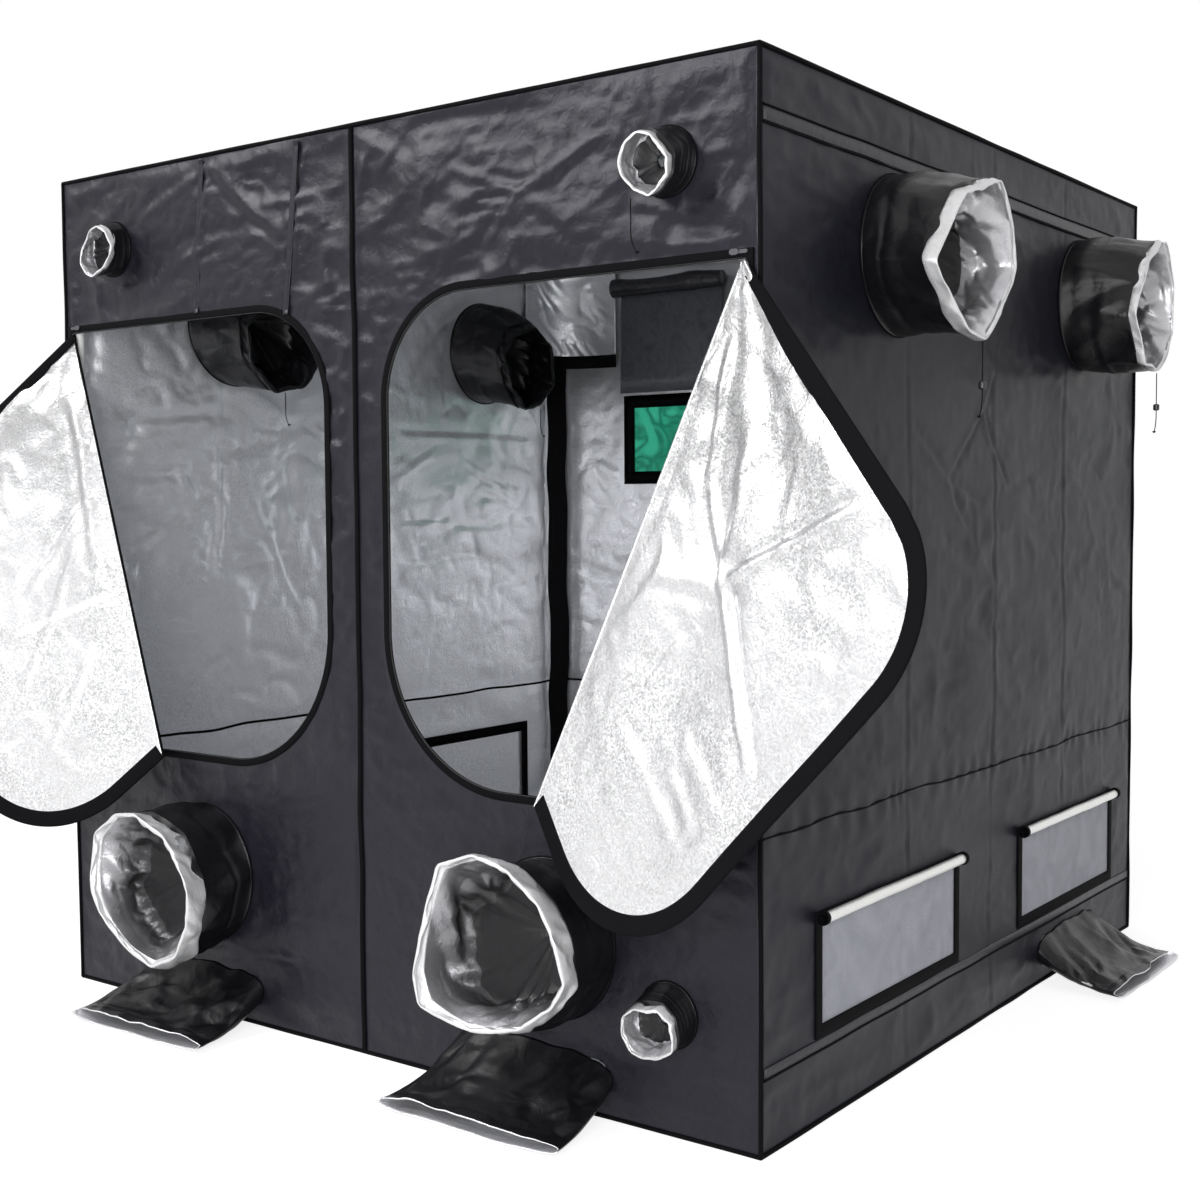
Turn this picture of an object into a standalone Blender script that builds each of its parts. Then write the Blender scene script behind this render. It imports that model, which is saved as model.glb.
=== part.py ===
"""Indoor grow tent, two metres each way, as separate pieces for Blender 4.5.

Metres, +Z up. The origin is the middle of the floor's underside. The front, with
its two doors, faces -Y, and +X is to the right of someone who looks at the front.
"""

import math

import bmesh
import bpy
from mathutils import Matrix, Quaternion, Vector

# The cube that the skin makes, and the cloth it is sewn from.
WIDTH = 2.0
DEPTH = 2.0
HEIGHT = 2.0
SKIN = 0.003
SEAM_GAP = 0.0003

# The steel frame inside the skin.
TUBE_RADIUS = 0.0125
TUBE_WALL = 0.0012
HUB_STEP = 0.0015
COLLAR_STEP = 0.0007
COLLAR_LENGTH = 0.024
SPIGOT_LENGTH = 0.055
SPIGOT_CLEARANCE = 0.0004
SKIN_SLACK = 0.004
TUBE_SIDES = 16
ARM_SIDES = 14
ARM_TWIST = math.radians(7.0)

# The bars that the lamps and fans hang from, and the clips that hold them.
BAR_OFFSET = 0.33
CLIP_WALL = 0.0028
CLIP_WIDTH = 0.030
CLIP_CLEARANCE = 0.0003
CLIP_MOUTH = math.radians(100.0)

# The D-shaped doors. The crease runs from the top hinge corner to the bottom edge.
DOOR_SILL = 0.615
DOOR_DROP = 0.375
CENTRE_MARGIN = 0.095
DOOR_TOP_RADIUS = 0.215
DOOR_BOTTOM_RADIUS = 0.31
DOOR_CLEARANCE = 0.003
HINGE_MARGIN = 0.03
HINGE_GAP = 0.0005
CREASE_OFFSET = 0.427
CREASE_GAP = 0.0008
DOOR_LEAN = math.radians(11.5)
DOOR_FOLD = math.radians(147.7)
FLAP_WAVE = 0.012
FLAP_FLAT_SHARE = 0.87
FLAP_SECOND_SHARE = 0.6

# The zip sliders, parked at the top hinge corners.
SLIDER_LENGTH = 0.020
SLIDER_WIDTH = 0.011
SLIDER_THICKNESS = 0.006
SLIDER_TAB_LENGTH = 0.024
SLIDER_TAB_WIDTH = 0.007
SLIDER_RISE = 0.004

# The duct sleeves: a root sewn round a hole, and a cuff turned back at the mouth.
SLEEVE_WALL = 0.003
SLEEVE_SEAM = 0.008
CUFF_STEP = 0.005
CUFF_CORD_SHARE = 1.5
SLEEVE_RING_SHARES = (0.22, 0.5)
SLEEVE_SWELL_SHARE = 0.05
SLEEVE_FOLD_SHARE = 0.025
SLEEVE_OVAL_SHARE = 0.05
MOUTH_RIPPLE_SHARE = 0.06
BIG_ROOT = 0.16
BIG_MOUTH = 0.182
BIG_CUFF = 0.032
SIDE_MOUTH = 0.168
SIDE_CUFF = 0.016
INNER_MOUTH = 0.135
INNER_CUFF = 0.022
PORT_ROOT = 0.062
PORT_MOUTH = 0.066
PORT_CUFF = 0.012
FRONT_SLEEVE_MARGIN = 0.485
FRONT_SLEEVE_Z = 0.335
FRONT_SLEEVE_LENGTH = 0.180
FRONT_SLEEVE_RISE = 0.022
SIDE_SLEEVE_FRONT_Y = -0.46
SIDE_SLEEVE_REAR_Y = 0.59
SIDE_SLEEVE_DROP = 0.31
SIDE_SLEEVE_LENGTH = 0.190
SIDE_SLEEVE_SAG = 0.020
INNER_SLEEVE_LENGTH = 0.20
INNER_SLEEVE_SAG = 0.060
PORT_LENGTH = 0.064
PORT_SAG = 0.012
PORT_TOP_MARGIN = 0.195
PORT_TOP_DROP = 0.185
PORT_LOW_MARGIN = 0.20
PORT_LOW_Z = 0.232

# The flat socks at floor level, which lie flattened on the ground.
SOCK_WIDTH = 0.40
SOCK_MOUTH_WIDTH = 0.45
SOCK_ROOT_LOW = 0.034
SOCK_ROOT_HEIGHT = 0.088
SOCK_MOUTH_HEIGHT = 0.026
SOCK_LENGTH = 0.215
SOCK_LIFT = 0.001
SOCK_RING_SHARES = (0.3, 0.6)
SOCK_CRUMPLE_SHARE = 0.10
SOCK_LEFT_MARGIN = 0.48
SOCK_RIGHT_MARGIN = 0.53
SOCK_SIDE_Y = 0.53

# The mesh vents low on the right wall, and the rolled covers above them.
VENT_WIDTH = 0.625
VENT_HEIGHT = 0.215
VENT_LOW = 0.183
VENT_FRONT_Y = -0.47
VENT_REAR_Y = 0.525
VENT_SHEET = 0.0015
ROLL_CORE = 0.0035
ROLL_PITCH = 0.0042
ROLL_SHEET = 0.002
ROLL_TURNS = 2.25
ROLL_OVERHANG = 0.012
ROLL_TAIL = 0.018

# The green inspection window in the back wall, and its blackout cover inside.
WINDOW_WIDTH = 0.36
WINDOW_HEIGHT = 0.235
WINDOW_DROP = 0.705
WINDOW_MARGIN = 0.49
WINDOW_SHEET = 0.001
WINDOW_COVER_MARGIN = 0.02
WINDOW_COVER_LENGTH = 0.325
WINDOW_COVER_DROP = 0.065

# The drawcords of the cuffs, and the toggles on two of them.
CORD_RADIUS = 0.00125
CORD_GAP = 0.0004
CORD_STEP = 0.0075
TOGGLE_RADIUS = 0.0075
TOGGLE_HEIGHT = 0.016
TOGGLE_BORE_CLEARANCE = 0.0006
TOGGLE_ROUND = 0.0025
TOGGLE_DROP = 0.085
SIDE_CORD_STRAIGHT = 0.105
SIDE_CORD_TAIL = 0.045
PORT_CORD_STRAIGHT = 0.060
PORT_CORD_TAIL = 0.040
INNER_CORD_STRAIGHT = 0.055
INNER_CORD_TAIL = 0.035
CORD_TAIL_SHARE = 0.35

# Places worked out from the sizes above.
HALF_WIDTH = WIDTH / 2
HALF_DEPTH = DEPTH / 2
HUB_RADIUS = TUBE_RADIUS + HUB_STEP
FRAME_X = HALF_WIDTH - SKIN - SKIN_SLACK - HUB_RADIUS
FRAME_Y = HALF_DEPTH - SKIN - SKIN_SLACK - HUB_RADIUS
FRAME_LOW = SKIN + SEAM_GAP + HUB_RADIUS
FRAME_HIGH = HEIGHT - SKIN - SEAM_GAP - HUB_RADIUS
WALL_LOW = SKIN + SEAM_GAP
WALL_HIGH = HEIGHT - SKIN - SEAM_GAP
HINGE_X = HALF_WIDTH - HINGE_MARGIN
DOOR_WIDTH = HINGE_X - CENTRE_MARGIN
DOOR_TOP = HEIGHT - DOOR_DROP
DOOR_HEIGHT = DOOR_TOP - DOOR_SILL
FRONT_SLEEVE_X = HALF_WIDTH - FRONT_SLEEVE_MARGIN
SIDE_SLEEVE_Z = HEIGHT - SIDE_SLEEVE_DROP
PORT_TOP_X = HALF_WIDTH - PORT_TOP_MARGIN
PORT_TOP_Z = HEIGHT - PORT_TOP_DROP
PORT_LOW_X = HALF_WIDTH - PORT_LOW_MARGIN
SOCK_FRONT_LEFT_X = SOCK_LEFT_MARGIN - HALF_WIDTH
SOCK_FRONT_RIGHT_X = HALF_WIDTH - SOCK_RIGHT_MARGIN
WINDOW_X = WINDOW_MARGIN - HALF_WIDTH
WINDOW_LOW = HEIGHT - WINDOW_DROP
WINDOW_COVER_TOP = HEIGHT - WINDOW_COVER_DROP

# Wall bases: the columns are the wall's own across, up and outward directions.
FRONT = Matrix(((1, 0, 0), (0, 0, -1), (0, 1, 0)))
BACK = Matrix(((-1, 0, 0), (0, 0, 1), (0, 1, 0)))
RIGHT = Matrix(((0, 0, 1), (1, 0, 0), (0, 1, 0)))
LEFT = Matrix(((0, 0, -1), (-1, 0, 0), (0, 1, 0)))

PALETTE = {
    "shell_cloth": ((0.045, 0.043, 0.050), 0.45, 0.0),
    "sleeve_cloth": ((0.010, 0.010, 0.012), 0.35, 0.0),
    "silver_lining": ((0.72, 0.72, 0.73), 0.30, 0.8),
    "frame_steel": ((0.80, 0.80, 0.80), 0.35, 0.3),
    "connector_steel": ((0.55, 0.56, 0.57), 0.30, 1.0),
    "vent_mesh": ((0.62, 0.64, 0.66), 0.60, 0.0),
    "vent_cover_cloth": ((0.78, 0.77, 0.74), 0.40, 0.2),
    "green_film": ((0.03, 0.32, 0.20), 0.20, 0.0),
    "blackout_film": ((0.015, 0.015, 0.018), 0.20, 0.0),
    "zip_metal": ((0.30, 0.30, 0.31), 0.30, 1.0),
    "drawcord": ((0.012, 0.012, 0.012), 0.70, 0.0),
    "toggle_plastic": ((0.015, 0.015, 0.016), 0.40, 0.0),
}


def start_scene():
    """Empty the scene and return the collection that holds the tent."""
    for old in list(bpy.data.objects):
        bpy.data.objects.remove(old, do_unlink=True)
    tent = bpy.data.collections.new("indoor_grow_tent")
    cutters = bpy.data.collections.new("cutters")
    bpy.context.scene.collection.children.link(tent)
    bpy.context.scene.collection.children.link(cutters)
    return tent, cutters


TENT, CUTTERS = start_scene()


def material(slot):
    """Principled material for one slot of the palette."""
    found = bpy.data.materials.get(slot)
    if found:
        return found
    colour, roughness, metallic = PALETTE[slot]
    made = bpy.data.materials.new(slot)
    made.use_nodes = True
    shader = made.node_tree.nodes["Principled BSDF"]
    shader.inputs["Base Color"].default_value = (*colour, 1.0)
    shader.inputs["Roughness"].default_value = roughness
    shader.inputs["Metallic"].default_value = metallic
    return made


def add_object(name, data, slot, placement=None, parent=None):
    """Link one piece into the tent's collection with its material and place."""
    piece = bpy.data.objects.new(name, data)
    TENT.objects.link(piece)
    if slot and not data.materials:
        data.materials.append(material(slot))
    if parent:
        piece.parent = parent
    if placement:
        piece.matrix_local = placement
    return piece


def add_pivot(name, placement, parent=None):
    """Empty on a joint's axis that carries a moving piece."""
    pivot = bpy.data.objects.new(name, None)
    TENT.objects.link(pivot)
    pivot.parent = parent
    pivot.matrix_local = placement
    return pivot


def at(x, y, z, basis=None):
    """Placement at a point, turned to a wall's basis."""
    turn = basis.to_4x4() if basis else Matrix.Identity(4)
    return Matrix.Translation((x, y, z)) @ turn


def pointing(point, direction):
    """Placement at a point with local Z along a direction."""
    turn = Vector(direction).to_track_quat("Z", "Y").to_matrix().to_4x4()
    return Matrix.Translation(point) @ turn


def smooth(mesh, degrees=35.0):
    """Smooth shading that stays sharp at real edges."""
    mesh.shade_smooth()
    mesh.set_sharp_from_angle(angle=math.radians(degrees))


def mesh_from_curve(curve_object):
    """Closed mesh of a curve object, with its loose caps welded."""
    bpy.context.view_layer.update()
    graph = bpy.context.evaluated_depsgraph_get()
    mesh = bpy.data.meshes.new_from_object(curve_object.evaluated_get(graph))
    work = bmesh.new()
    work.from_mesh(mesh)
    bmesh.ops.remove_doubles(work, verts=work.verts, dist=SEAM_GAP / 10)
    work.to_mesh(mesh)
    work.free()
    bpy.data.objects.remove(curve_object, do_unlink=True)
    return mesh


def flat_mesh(name, outlines, thickness):
    """Mesh of a flat sheet. The first outline is its edge and the others are holes."""
    curve = bpy.data.curves.new(name, "CURVE")
    curve.dimensions = "2D"
    curve.fill_mode = "BOTH"
    curve.extrude = thickness / 2
    for outline in outlines:
        spline = curve.splines.new("POLY")
        spline.points.add(len(outline) - 1)
        for point, (across, up) in zip(spline.points, outline):
            point.co = (across, up, 0.0, 1.0)
        spline.use_cyclic_u = True
    holder = bpy.data.objects.new(name + "_outline", curve)
    TENT.objects.link(holder)
    return mesh_from_curve(holder)


def arc(centre, radius, start, end, steps):
    """Points of an arc, from one angle to another in radians."""
    points = []
    for step in range(steps + 1):
        angle = start + (end - start) * step / steps
        points.append((centre[0] + radius * math.cos(angle), centre[1] + radius * math.sin(angle)))
    return points


def circle(centre, radius, sides):
    """Closed circle outline."""
    return arc(centre, radius, 0.0, 2 * math.pi, sides)[:-1]


def rectangle(low_across, high_across, low_up, high_up):
    """Closed rectangle outline."""
    return [(low_across, low_up), (high_across, low_up), (high_across, high_up), (low_across, high_up)]


def slot_outline(centre, width, height, steps=4):
    """Closed outline of a slot with round ends."""
    radius = height / 2
    reach = width / 2 - radius
    right = arc((centre[0] + reach, centre[1]), radius, -math.pi / 2, math.pi / 2, steps)
    left = arc((centre[0] - reach, centre[1]), radius, math.pi / 2, 3 * math.pi / 2, steps)
    return right + left


def turned_mesh(name, profile, sides):
    """Mesh of a closed profile turned about Z; the profile runs down its outer side."""
    mesh = bpy.data.meshes.new(name)
    count = len(profile)
    edges = [(i, (i + 1) % count) for i in range(count)]
    mesh.from_pydata([(radius, 0.0, height) for radius, height in profile], edges, [])
    holder = bpy.data.objects.new(name + "_profile", mesh)
    TENT.objects.link(holder)
    screw = holder.modifiers.new("turn", "SCREW")
    screw.steps = sides
    screw.render_steps = sides
    screw.use_merge_vertices = True
    screw.merge_threshold = SEAM_GAP / 10
    turned = mesh_from_curve(holder)
    smooth(turned)
    return turned


def primitive_cylinder(radius, low, high, direction, sides):
    """Cutter or joined part: a cylinder along a direction from the origin."""
    mesh = bpy.data.meshes.new("cylinder")
    work = bmesh.new()
    shift = Matrix.Translation((0.0, 0.0, (low + high) / 2))
    turn = pointing((0.0, 0.0, 0.0), direction)
    bmesh.ops.create_cone(work, cap_ends=True, segments=sides, radius1=radius, radius2=radius,
                          depth=high - low, matrix=turn @ shift)
    work.to_mesh(mesh)
    work.free()
    return mesh


def helper_object(name, mesh, placement=None):
    """Hidden wire object that a Boolean joins or cuts with."""
    helper = bpy.data.objects.new(name, mesh)
    CUTTERS.objects.link(helper)
    helper.hide_render = True
    helper.display_type = "WIRE"
    if placement:
        helper.matrix_world = placement
    return helper


def joined_mesh(name, first, steps):
    """Mesh of a first body after each step in turn: a UNION or a DIFFERENCE, and its helper."""
    holder = bpy.data.objects.new(name + "_body", first)
    TENT.objects.link(holder)
    for kind, helper in steps:
        step = holder.modifiers.new(kind.lower(), "BOOLEAN")
        step.operation = kind
        step.solver = "EXACT"
        step.object = helper
    return mesh_from_curve(holder)


# Frame: steel tubes that push over the spigots of three-way corner connectors.

def tube_mesh(length):
    """Hollow tube from the origin along Z."""
    bore = TUBE_RADIUS - TUBE_WALL
    profile = [(TUBE_RADIUS, length), (TUBE_RADIUS, 0.0), (bore, 0.0), (bore, length)]
    return turned_mesh("tube", profile, TUBE_SIDES)


def frame_tube(name, start, end):
    """Tube between two corner centres, short of each by the connector's collar."""
    start = Vector(start)
    end = Vector(end)
    direction = (end - start).normalized()
    inset = COLLAR_LENGTH + SEAM_GAP
    length = (end - start).length - 2 * inset
    add_object(name, tube_mesh(length), "frame_steel", pointing(start + direction * inset, direction))


def corner_connector(name, signs):
    """Three collars and three spigots that meet in a round hub at a corner."""
    ball = bpy.data.meshes.new("hub")
    work = bmesh.new()
    tilt = Matrix.Rotation(ARM_TWIST, 4, (1.0, 1.0, 0.0))
    bmesh.ops.create_uvsphere(work, u_segments=ARM_SIDES, v_segments=ARM_SIDES // 2 + 1, radius=HUB_RADIUS,
                              matrix=tilt)
    work.to_mesh(ball)
    work.free()
    collar = TUBE_RADIUS + COLLAR_STEP
    spigot = TUBE_RADIUS - TUBE_WALL - SPIGOT_CLEARANCE
    arms = []
    for axis in range(3):
        direction = [0.0, 0.0, 0.0]
        direction[axis] = -signs[axis]
        reaches = ((collar, HUB_STEP, COLLAR_LENGTH),
                   (spigot, COLLAR_LENGTH / 2, COLLAR_LENGTH + SPIGOT_LENGTH))
        for radius, low, high in reaches:
            mesh = primitive_cylinder(radius, low, high, (0.0, 0.0, 1.0), ARM_SIDES)
            turn = Matrix.Rotation(ARM_TWIST * (axis + 1), 4, "Z")
            arm = helper_object(name + "_arm", mesh, pointing((0.0, 0.0, 0.0), direction) @ turn)
            arms.append(("UNION", arm))
    mesh = joined_mesh(name, ball, arms)
    smooth(mesh, 40.0)
    high = FRAME_HIGH if signs[2] > 0 else FRAME_LOW
    add_object(name, mesh, "connector_steel", at(signs[0] * FRAME_X, signs[1] * FRAME_Y, high))


def frame():
    """Four uprights, four bottom rails, four top rails and eight connectors."""
    for side, sx in (("left", -1), ("right", 1)):
        x = sx * FRAME_X
        for end, sy in (("front", -1), ("rear", 1)):
            y = sy * FRAME_Y
            frame_tube(f"upright_{end}_{side}", (x, y, FRAME_LOW), (x, y, FRAME_HIGH))
            corner_connector(f"corner_bottom_{end}_{side}", (sx, sy, -1))
            corner_connector(f"corner_top_{end}_{side}", (sx, sy, 1))
        frame_tube(f"bottom_rail_{side}", (x, -FRAME_Y, FRAME_LOW), (x, FRAME_Y, FRAME_LOW))
        frame_tube(f"top_rail_{side}", (x, -FRAME_Y, FRAME_HIGH), (x, FRAME_Y, FRAME_HIGH))
    for end, sy in (("front", -1), ("rear", 1)):
        y = sy * FRAME_Y
        frame_tube(f"bottom_rail_{end}", (-FRAME_X, y, FRAME_LOW), (FRAME_X, y, FRAME_LOW))
        frame_tube(f"top_rail_{end}", (-FRAME_X, y, FRAME_HIGH), (FRAME_X, y, FRAME_HIGH))


def clip_outline():
    """Open ring that snaps on a rail from below; it stays open at the top.

    The flats of its bore touch the clearance circle, so no corner cuts into the rail.
    """
    steps = 10
    start = math.pi / 2 + CLIP_MOUTH / 2
    end = math.pi / 2 - CLIP_MOUTH / 2 + 2 * math.pi
    inner = (TUBE_RADIUS + CLIP_CLEARANCE) / math.cos((end - start) / steps / 2)
    outer = inner + CLIP_WALL
    return arc((0.0, 0.0), outer, start, end, steps) + arc((0.0, 0.0), inner, end, start, steps)


def roof_bar(name, x):
    """Cross bar with a clip at each end, coped to sit against both top rails."""
    turn = Matrix(((0, 0, 1), (1, 0, 0), (0, 1, 0))).to_4x4()
    cope_radius = TUBE_RADIUS + CLIP_CLEARANCE + CLIP_WALL / 2
    copes = []
    clips = []
    for sy in (-1, 1):
        place = Matrix.Translation((0.0, sy * FRAME_Y, 0.0))
        cope = primitive_cylinder(cope_radius, -CLIP_WIDTH, CLIP_WIDTH, (1.0, 0.0, 0.0), TUBE_SIDES)
        copes.append(("DIFFERENCE", helper_object(name + "_cope", cope, place)))
        clip = flat_mesh(name + "_clip", [clip_outline()], CLIP_WIDTH)
        clips.append(("UNION", helper_object(name + "_clip", clip, place @ turn)))
    bore = primitive_cylinder(TUBE_RADIUS - TUBE_WALL, -FRAME_Y, FRAME_Y, (0.0, 1.0, 0.0), TUBE_SIDES)
    bar = primitive_cylinder(TUBE_RADIUS, -FRAME_Y, FRAME_Y, (0.0, 1.0, 0.0), TUBE_SIDES)
    mesh = joined_mesh(name, bar, copes + clips + [("DIFFERENCE", helper_object(name + "_bore", bore))])
    smooth(mesh)
    add_object(name, mesh, "frame_steel", at(x, 0.0, FRAME_HIGH))


# Skin: floor, roof and walls, each cut out for its doors, ducts, vents and window.

def level_panel(name, height):
    """Floor or roof sheet over the whole footprint."""
    outline = rectangle(-HALF_WIDTH, HALF_WIDTH, -HALF_DEPTH, HALF_DEPTH)
    add_object(name, flat_mesh(name, [outline], SKIN), "shell_cloth", at(0.0, 0.0, height))


def door_outline(grow):
    """D-shaped door seen from the front, with its top hinge corner at the origin."""
    free = -DOOR_WIDTH - grow
    top = grow
    bottom = -DOOR_HEIGHT - grow
    upper = DOOR_TOP_RADIUS + grow
    lower = DOOR_BOTTOM_RADIUS + grow
    points = [(0.0, bottom), (0.0, top)]
    points += arc((free + upper, top - upper), upper, math.pi / 2, math.pi, 10)
    points += arc((free + lower, bottom + lower), lower, math.pi, 3 * math.pi / 2, 12)
    return points


def door_hole(side):
    """Door opening in the wall's own coordinates, on the side given by a sign."""
    return [(side * (HINGE_X + across), DOOR_TOP + up) for across, up in door_outline(DOOR_CLEARANCE)]


def duct_hole(across, up, root):
    """Round hole a little smaller than the sleeve sewn round it."""
    return circle((across, up), root - SLEEVE_SEAM, 28)


def sock_hole(across):
    """Slot behind a floor sock."""
    height = SOCK_ROOT_HEIGHT - 2 * SLEEVE_SEAM
    centre = (across, SOCK_ROOT_LOW + SOCK_ROOT_HEIGHT / 2)
    return slot_outline(centre, SOCK_WIDTH - 2 * SLEEVE_SEAM, height)


def wall(name, outlines, centre, basis):
    """Upright sheet whose outer face is on the tent's outside."""
    mesh = flat_mesh(name, outlines, SKIN)
    outward = basis @ Vector((0.0, 0.0, -SKIN / 2))
    add_object(name, mesh, "shell_cloth", at(centre[0] + outward.x, centre[1] + outward.y, 0.0, basis))


def front_walls():
    """Two halves sewn together on the centre line, each with a door."""
    for side, sign, sock in (("left", -1, SOCK_FRONT_LEFT_X), ("right", 1, SOCK_FRONT_RIGHT_X)):
        edges = sorted((sign * SEAM_GAP / 2, sign * HALF_WIDTH))
        outlines = [rectangle(edges[0], edges[1], WALL_LOW, WALL_HIGH), door_hole(sign)]
        outlines.append(duct_hole(sign * FRONT_SLEEVE_X, FRONT_SLEEVE_Z, BIG_ROOT))
        outlines.append(duct_hole(sign * PORT_TOP_X, PORT_TOP_Z, PORT_ROOT))
        outlines.append(sock_hole(sock))
        if sign > 0:
            outlines.append(duct_hole(PORT_LOW_X, PORT_LOW_Z, PORT_ROOT))
        wall(f"front_wall_{side}", outlines, (0.0, -HALF_DEPTH), FRONT)


def side_reach():
    """Half length of a side wall, which ends behind the front and back walls."""
    return HALF_DEPTH - SKIN - SEAM_GAP


def right_wall():
    """Right wall with two duct holes, two vents and a floor sock."""
    reach = side_reach()
    outlines = [rectangle(-reach, reach, WALL_LOW, WALL_HIGH)]
    for y in (SIDE_SLEEVE_FRONT_Y, SIDE_SLEEVE_REAR_Y):
        outlines.append(duct_hole(y, SIDE_SLEEVE_Z, BIG_ROOT))
    for y in (VENT_FRONT_Y, VENT_REAR_Y):
        outlines.append(rectangle(y - VENT_WIDTH / 2, y + VENT_WIDTH / 2, VENT_LOW, VENT_LOW + VENT_HEIGHT))
    outlines.append(sock_hole(SOCK_SIDE_Y))
    wall("right_wall", outlines, (HALF_WIDTH, 0.0), RIGHT)


def left_wall():
    """Left wall with the holes of the two sleeves that are pushed inside."""
    reach = side_reach()
    outlines = [rectangle(-reach, reach, WALL_LOW, WALL_HIGH)]
    for y in (SIDE_SLEEVE_FRONT_Y, SIDE_SLEEVE_REAR_Y):
        outlines.append(duct_hole(-y, SIDE_SLEEVE_Z, BIG_ROOT))
    wall("left_wall", outlines, (-HALF_WIDTH, 0.0), LEFT)


def back_wall():
    """Back wall with the green window's hole."""
    window = rectangle(-WINDOW_X - WINDOW_WIDTH / 2, -WINDOW_X + WINDOW_WIDTH / 2,
                       WINDOW_LOW, WINDOW_LOW + WINDOW_HEIGHT)
    outlines = [rectangle(-HALF_WIDTH, HALF_WIDTH, WALL_LOW, WALL_HIGH), window]
    wall("back_wall", outlines, (0.0, HALF_DEPTH), BACK)


# Doors: each is a stiff triangle along its hinge and a D-shaped flap that folds
# back over the crease between them. Both are modelled shut, then turned open.

def crease_vectors():
    """Unit vectors down the crease and across it towards the flap, in a right door."""
    length = math.hypot(CREASE_OFFSET, DOOR_HEIGHT)
    down = (-CREASE_OFFSET / length, -DOOR_HEIGHT / length)
    return down, (down[1], -down[0])


def flap_reach(angle):
    """Distance from the top hinge corner to the flap's edge, along a ray.

    The angle is measured from straight down towards the free side.
    """
    across = -math.sin(angle)
    up = -math.cos(angle)
    outline = door_outline(0.0)[1:] + [(0.0, -DOOR_HEIGHT)]
    best = 0.0
    for (x0, z0), (x1, z1) in zip(outline, outline[1:]):
        edge = (x1 - x0, z1 - z0)
        cross = across * edge[1] - up * edge[0]
        if abs(cross) < 1e-9:
            continue
        along = (x0 * edge[1] - z0 * edge[0]) / cross
        share = (x0 * up - z0 * across) / cross
        if -1e-6 <= share <= 1 + 1e-6:
            best = max(best, along)
    return best


def flap_wave(turn, share):
    """Height of the flap's main folds, which fan out from the top hinge corner."""
    along = FLAP_FLAT_SHARE * min(1.0, share / FLAP_FLAT_SHARE)
    fade = math.sin(math.pi * turn) * math.sin(math.pi * along) ** 1.5
    main = math.sin(5 * math.pi * turn)
    second = FLAP_SECOND_SHARE * math.sin(3 * math.pi * turn + 2.2 * share)
    return FLAP_WAVE * fade * (main + second)


def flap_mesh(sign):
    """Sheet that fans out from the corner, from the crease round to the top edge."""
    rays = 14
    rings = 9
    start = math.atan2(CREASE_OFFSET, DOOR_HEIGHT)
    work = bmesh.new()
    corner = work.verts.new((0.0, 0.0, 0.0))
    rows = []
    for ray in range(rays + 1):
        turn = ray / rays
        angle = start + (math.pi / 2 - start) * turn
        reach = flap_reach(angle)
        row = []
        for ring in range(1, rings + 1):
            share = ring / rings
            radius = reach * share
            row.append(work.verts.new((-sign * radius * math.sin(angle), flap_wave(turn, share),
                                       -radius * math.cos(angle))))
        rows.append(row)
    for near, far in zip(rows, rows[1:]):
        work.faces.new((corner, near[0], far[0]))
        for ring in range(rings - 1):
            work.faces.new((near[ring], near[ring + 1], far[ring + 1], far[ring]))
    bmesh.ops.recalc_face_normals(work, faces=work.faces)
    mesh = bpy.data.meshes.new("flap")
    if sum(face.normal.y for face in work.faces) > 0:
        bmesh.ops.reverse_faces(work, faces=work.faces)
    work.to_mesh(mesh)
    work.free()
    return mesh


def door(side, sign):
    """Hinge panel and flap of one door, opened as the photograph shows."""
    down, aside = crease_vectors()
    swing = add_pivot(f"door_{side}_swing_axis",
                      at(sign * HINGE_X, -HALF_DEPTH, DOOR_TOP) @ Matrix.Rotation(sign * DOOR_LEAN, 4, "Z"))
    shift = CREASE_GAP / 2
    bottom = (-CREASE_OFFSET - aside[0] * shift, -DOOR_HEIGHT)
    hinge_edge = -HINGE_GAP
    top = -DOOR_HEIGHT * (shift + HINGE_GAP) / CREASE_OFFSET
    outline = [(sign * hinge_edge, top), (sign * hinge_edge, -DOOR_HEIGHT), (sign * bottom[0], bottom[1])]
    panel = flat_mesh(f"door_{side}_panel", [outline], SKIN)
    add_object(f"door_{side}_panel", panel, "shell_cloth", at(0.0, SKIN / 2, 0.0, FRONT), swing)

    axis = Vector((sign * down[0], 0.0, down[1]))
    fold = Quaternion(axis, -sign * DOOR_FOLD).to_matrix().to_4x4()
    crease = add_pivot(f"door_{side}_crease_axis", fold, swing)
    step = Matrix.Translation((sign * aside[0] * shift, 0.0, aside[1] * shift))
    flap = add_object(f"door_{side}_flap", flap_mesh(sign), "silver_lining", step, crease)
    wall_step = flap.modifiers.new("cloth", "SOLIDIFY")
    wall_step.thickness = SKIN
    wall_step.offset = -1.0


def zip_slider(side, sign):
    """Slider and pull tab on the zip's top run, parked at the hinge corner."""
    body = slot_outline((0.0, 0.0), SLIDER_LENGTH, SLIDER_WIDTH)
    tab = slot_outline((sign * SLIDER_TAB_LENGTH / 2, 0.0), SLIDER_TAB_LENGTH + SLIDER_TAB_WIDTH,
                       SLIDER_TAB_WIDTH)
    body_mesh = flat_mesh("slider_body", [body], SLIDER_THICKNESS)
    tab_mesh = flat_mesh("slider_tab", [tab], SLIDER_THICKNESS / 3)
    mesh = joined_mesh(f"zip_slider_{side}", body_mesh, [("UNION", helper_object("slider_tab", tab_mesh))])
    x = sign * (HINGE_X - SLIDER_LENGTH)
    y = -HALF_DEPTH - SEAM_GAP - SLIDER_THICKNESS / 2
    z = DOOR_TOP + DOOR_CLEARANCE + SLIDER_RISE + SLIDER_WIDTH / 2
    add_object(f"zip_slider_{side}", mesh, "zip_metal", at(x, y, z, FRONT))


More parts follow.
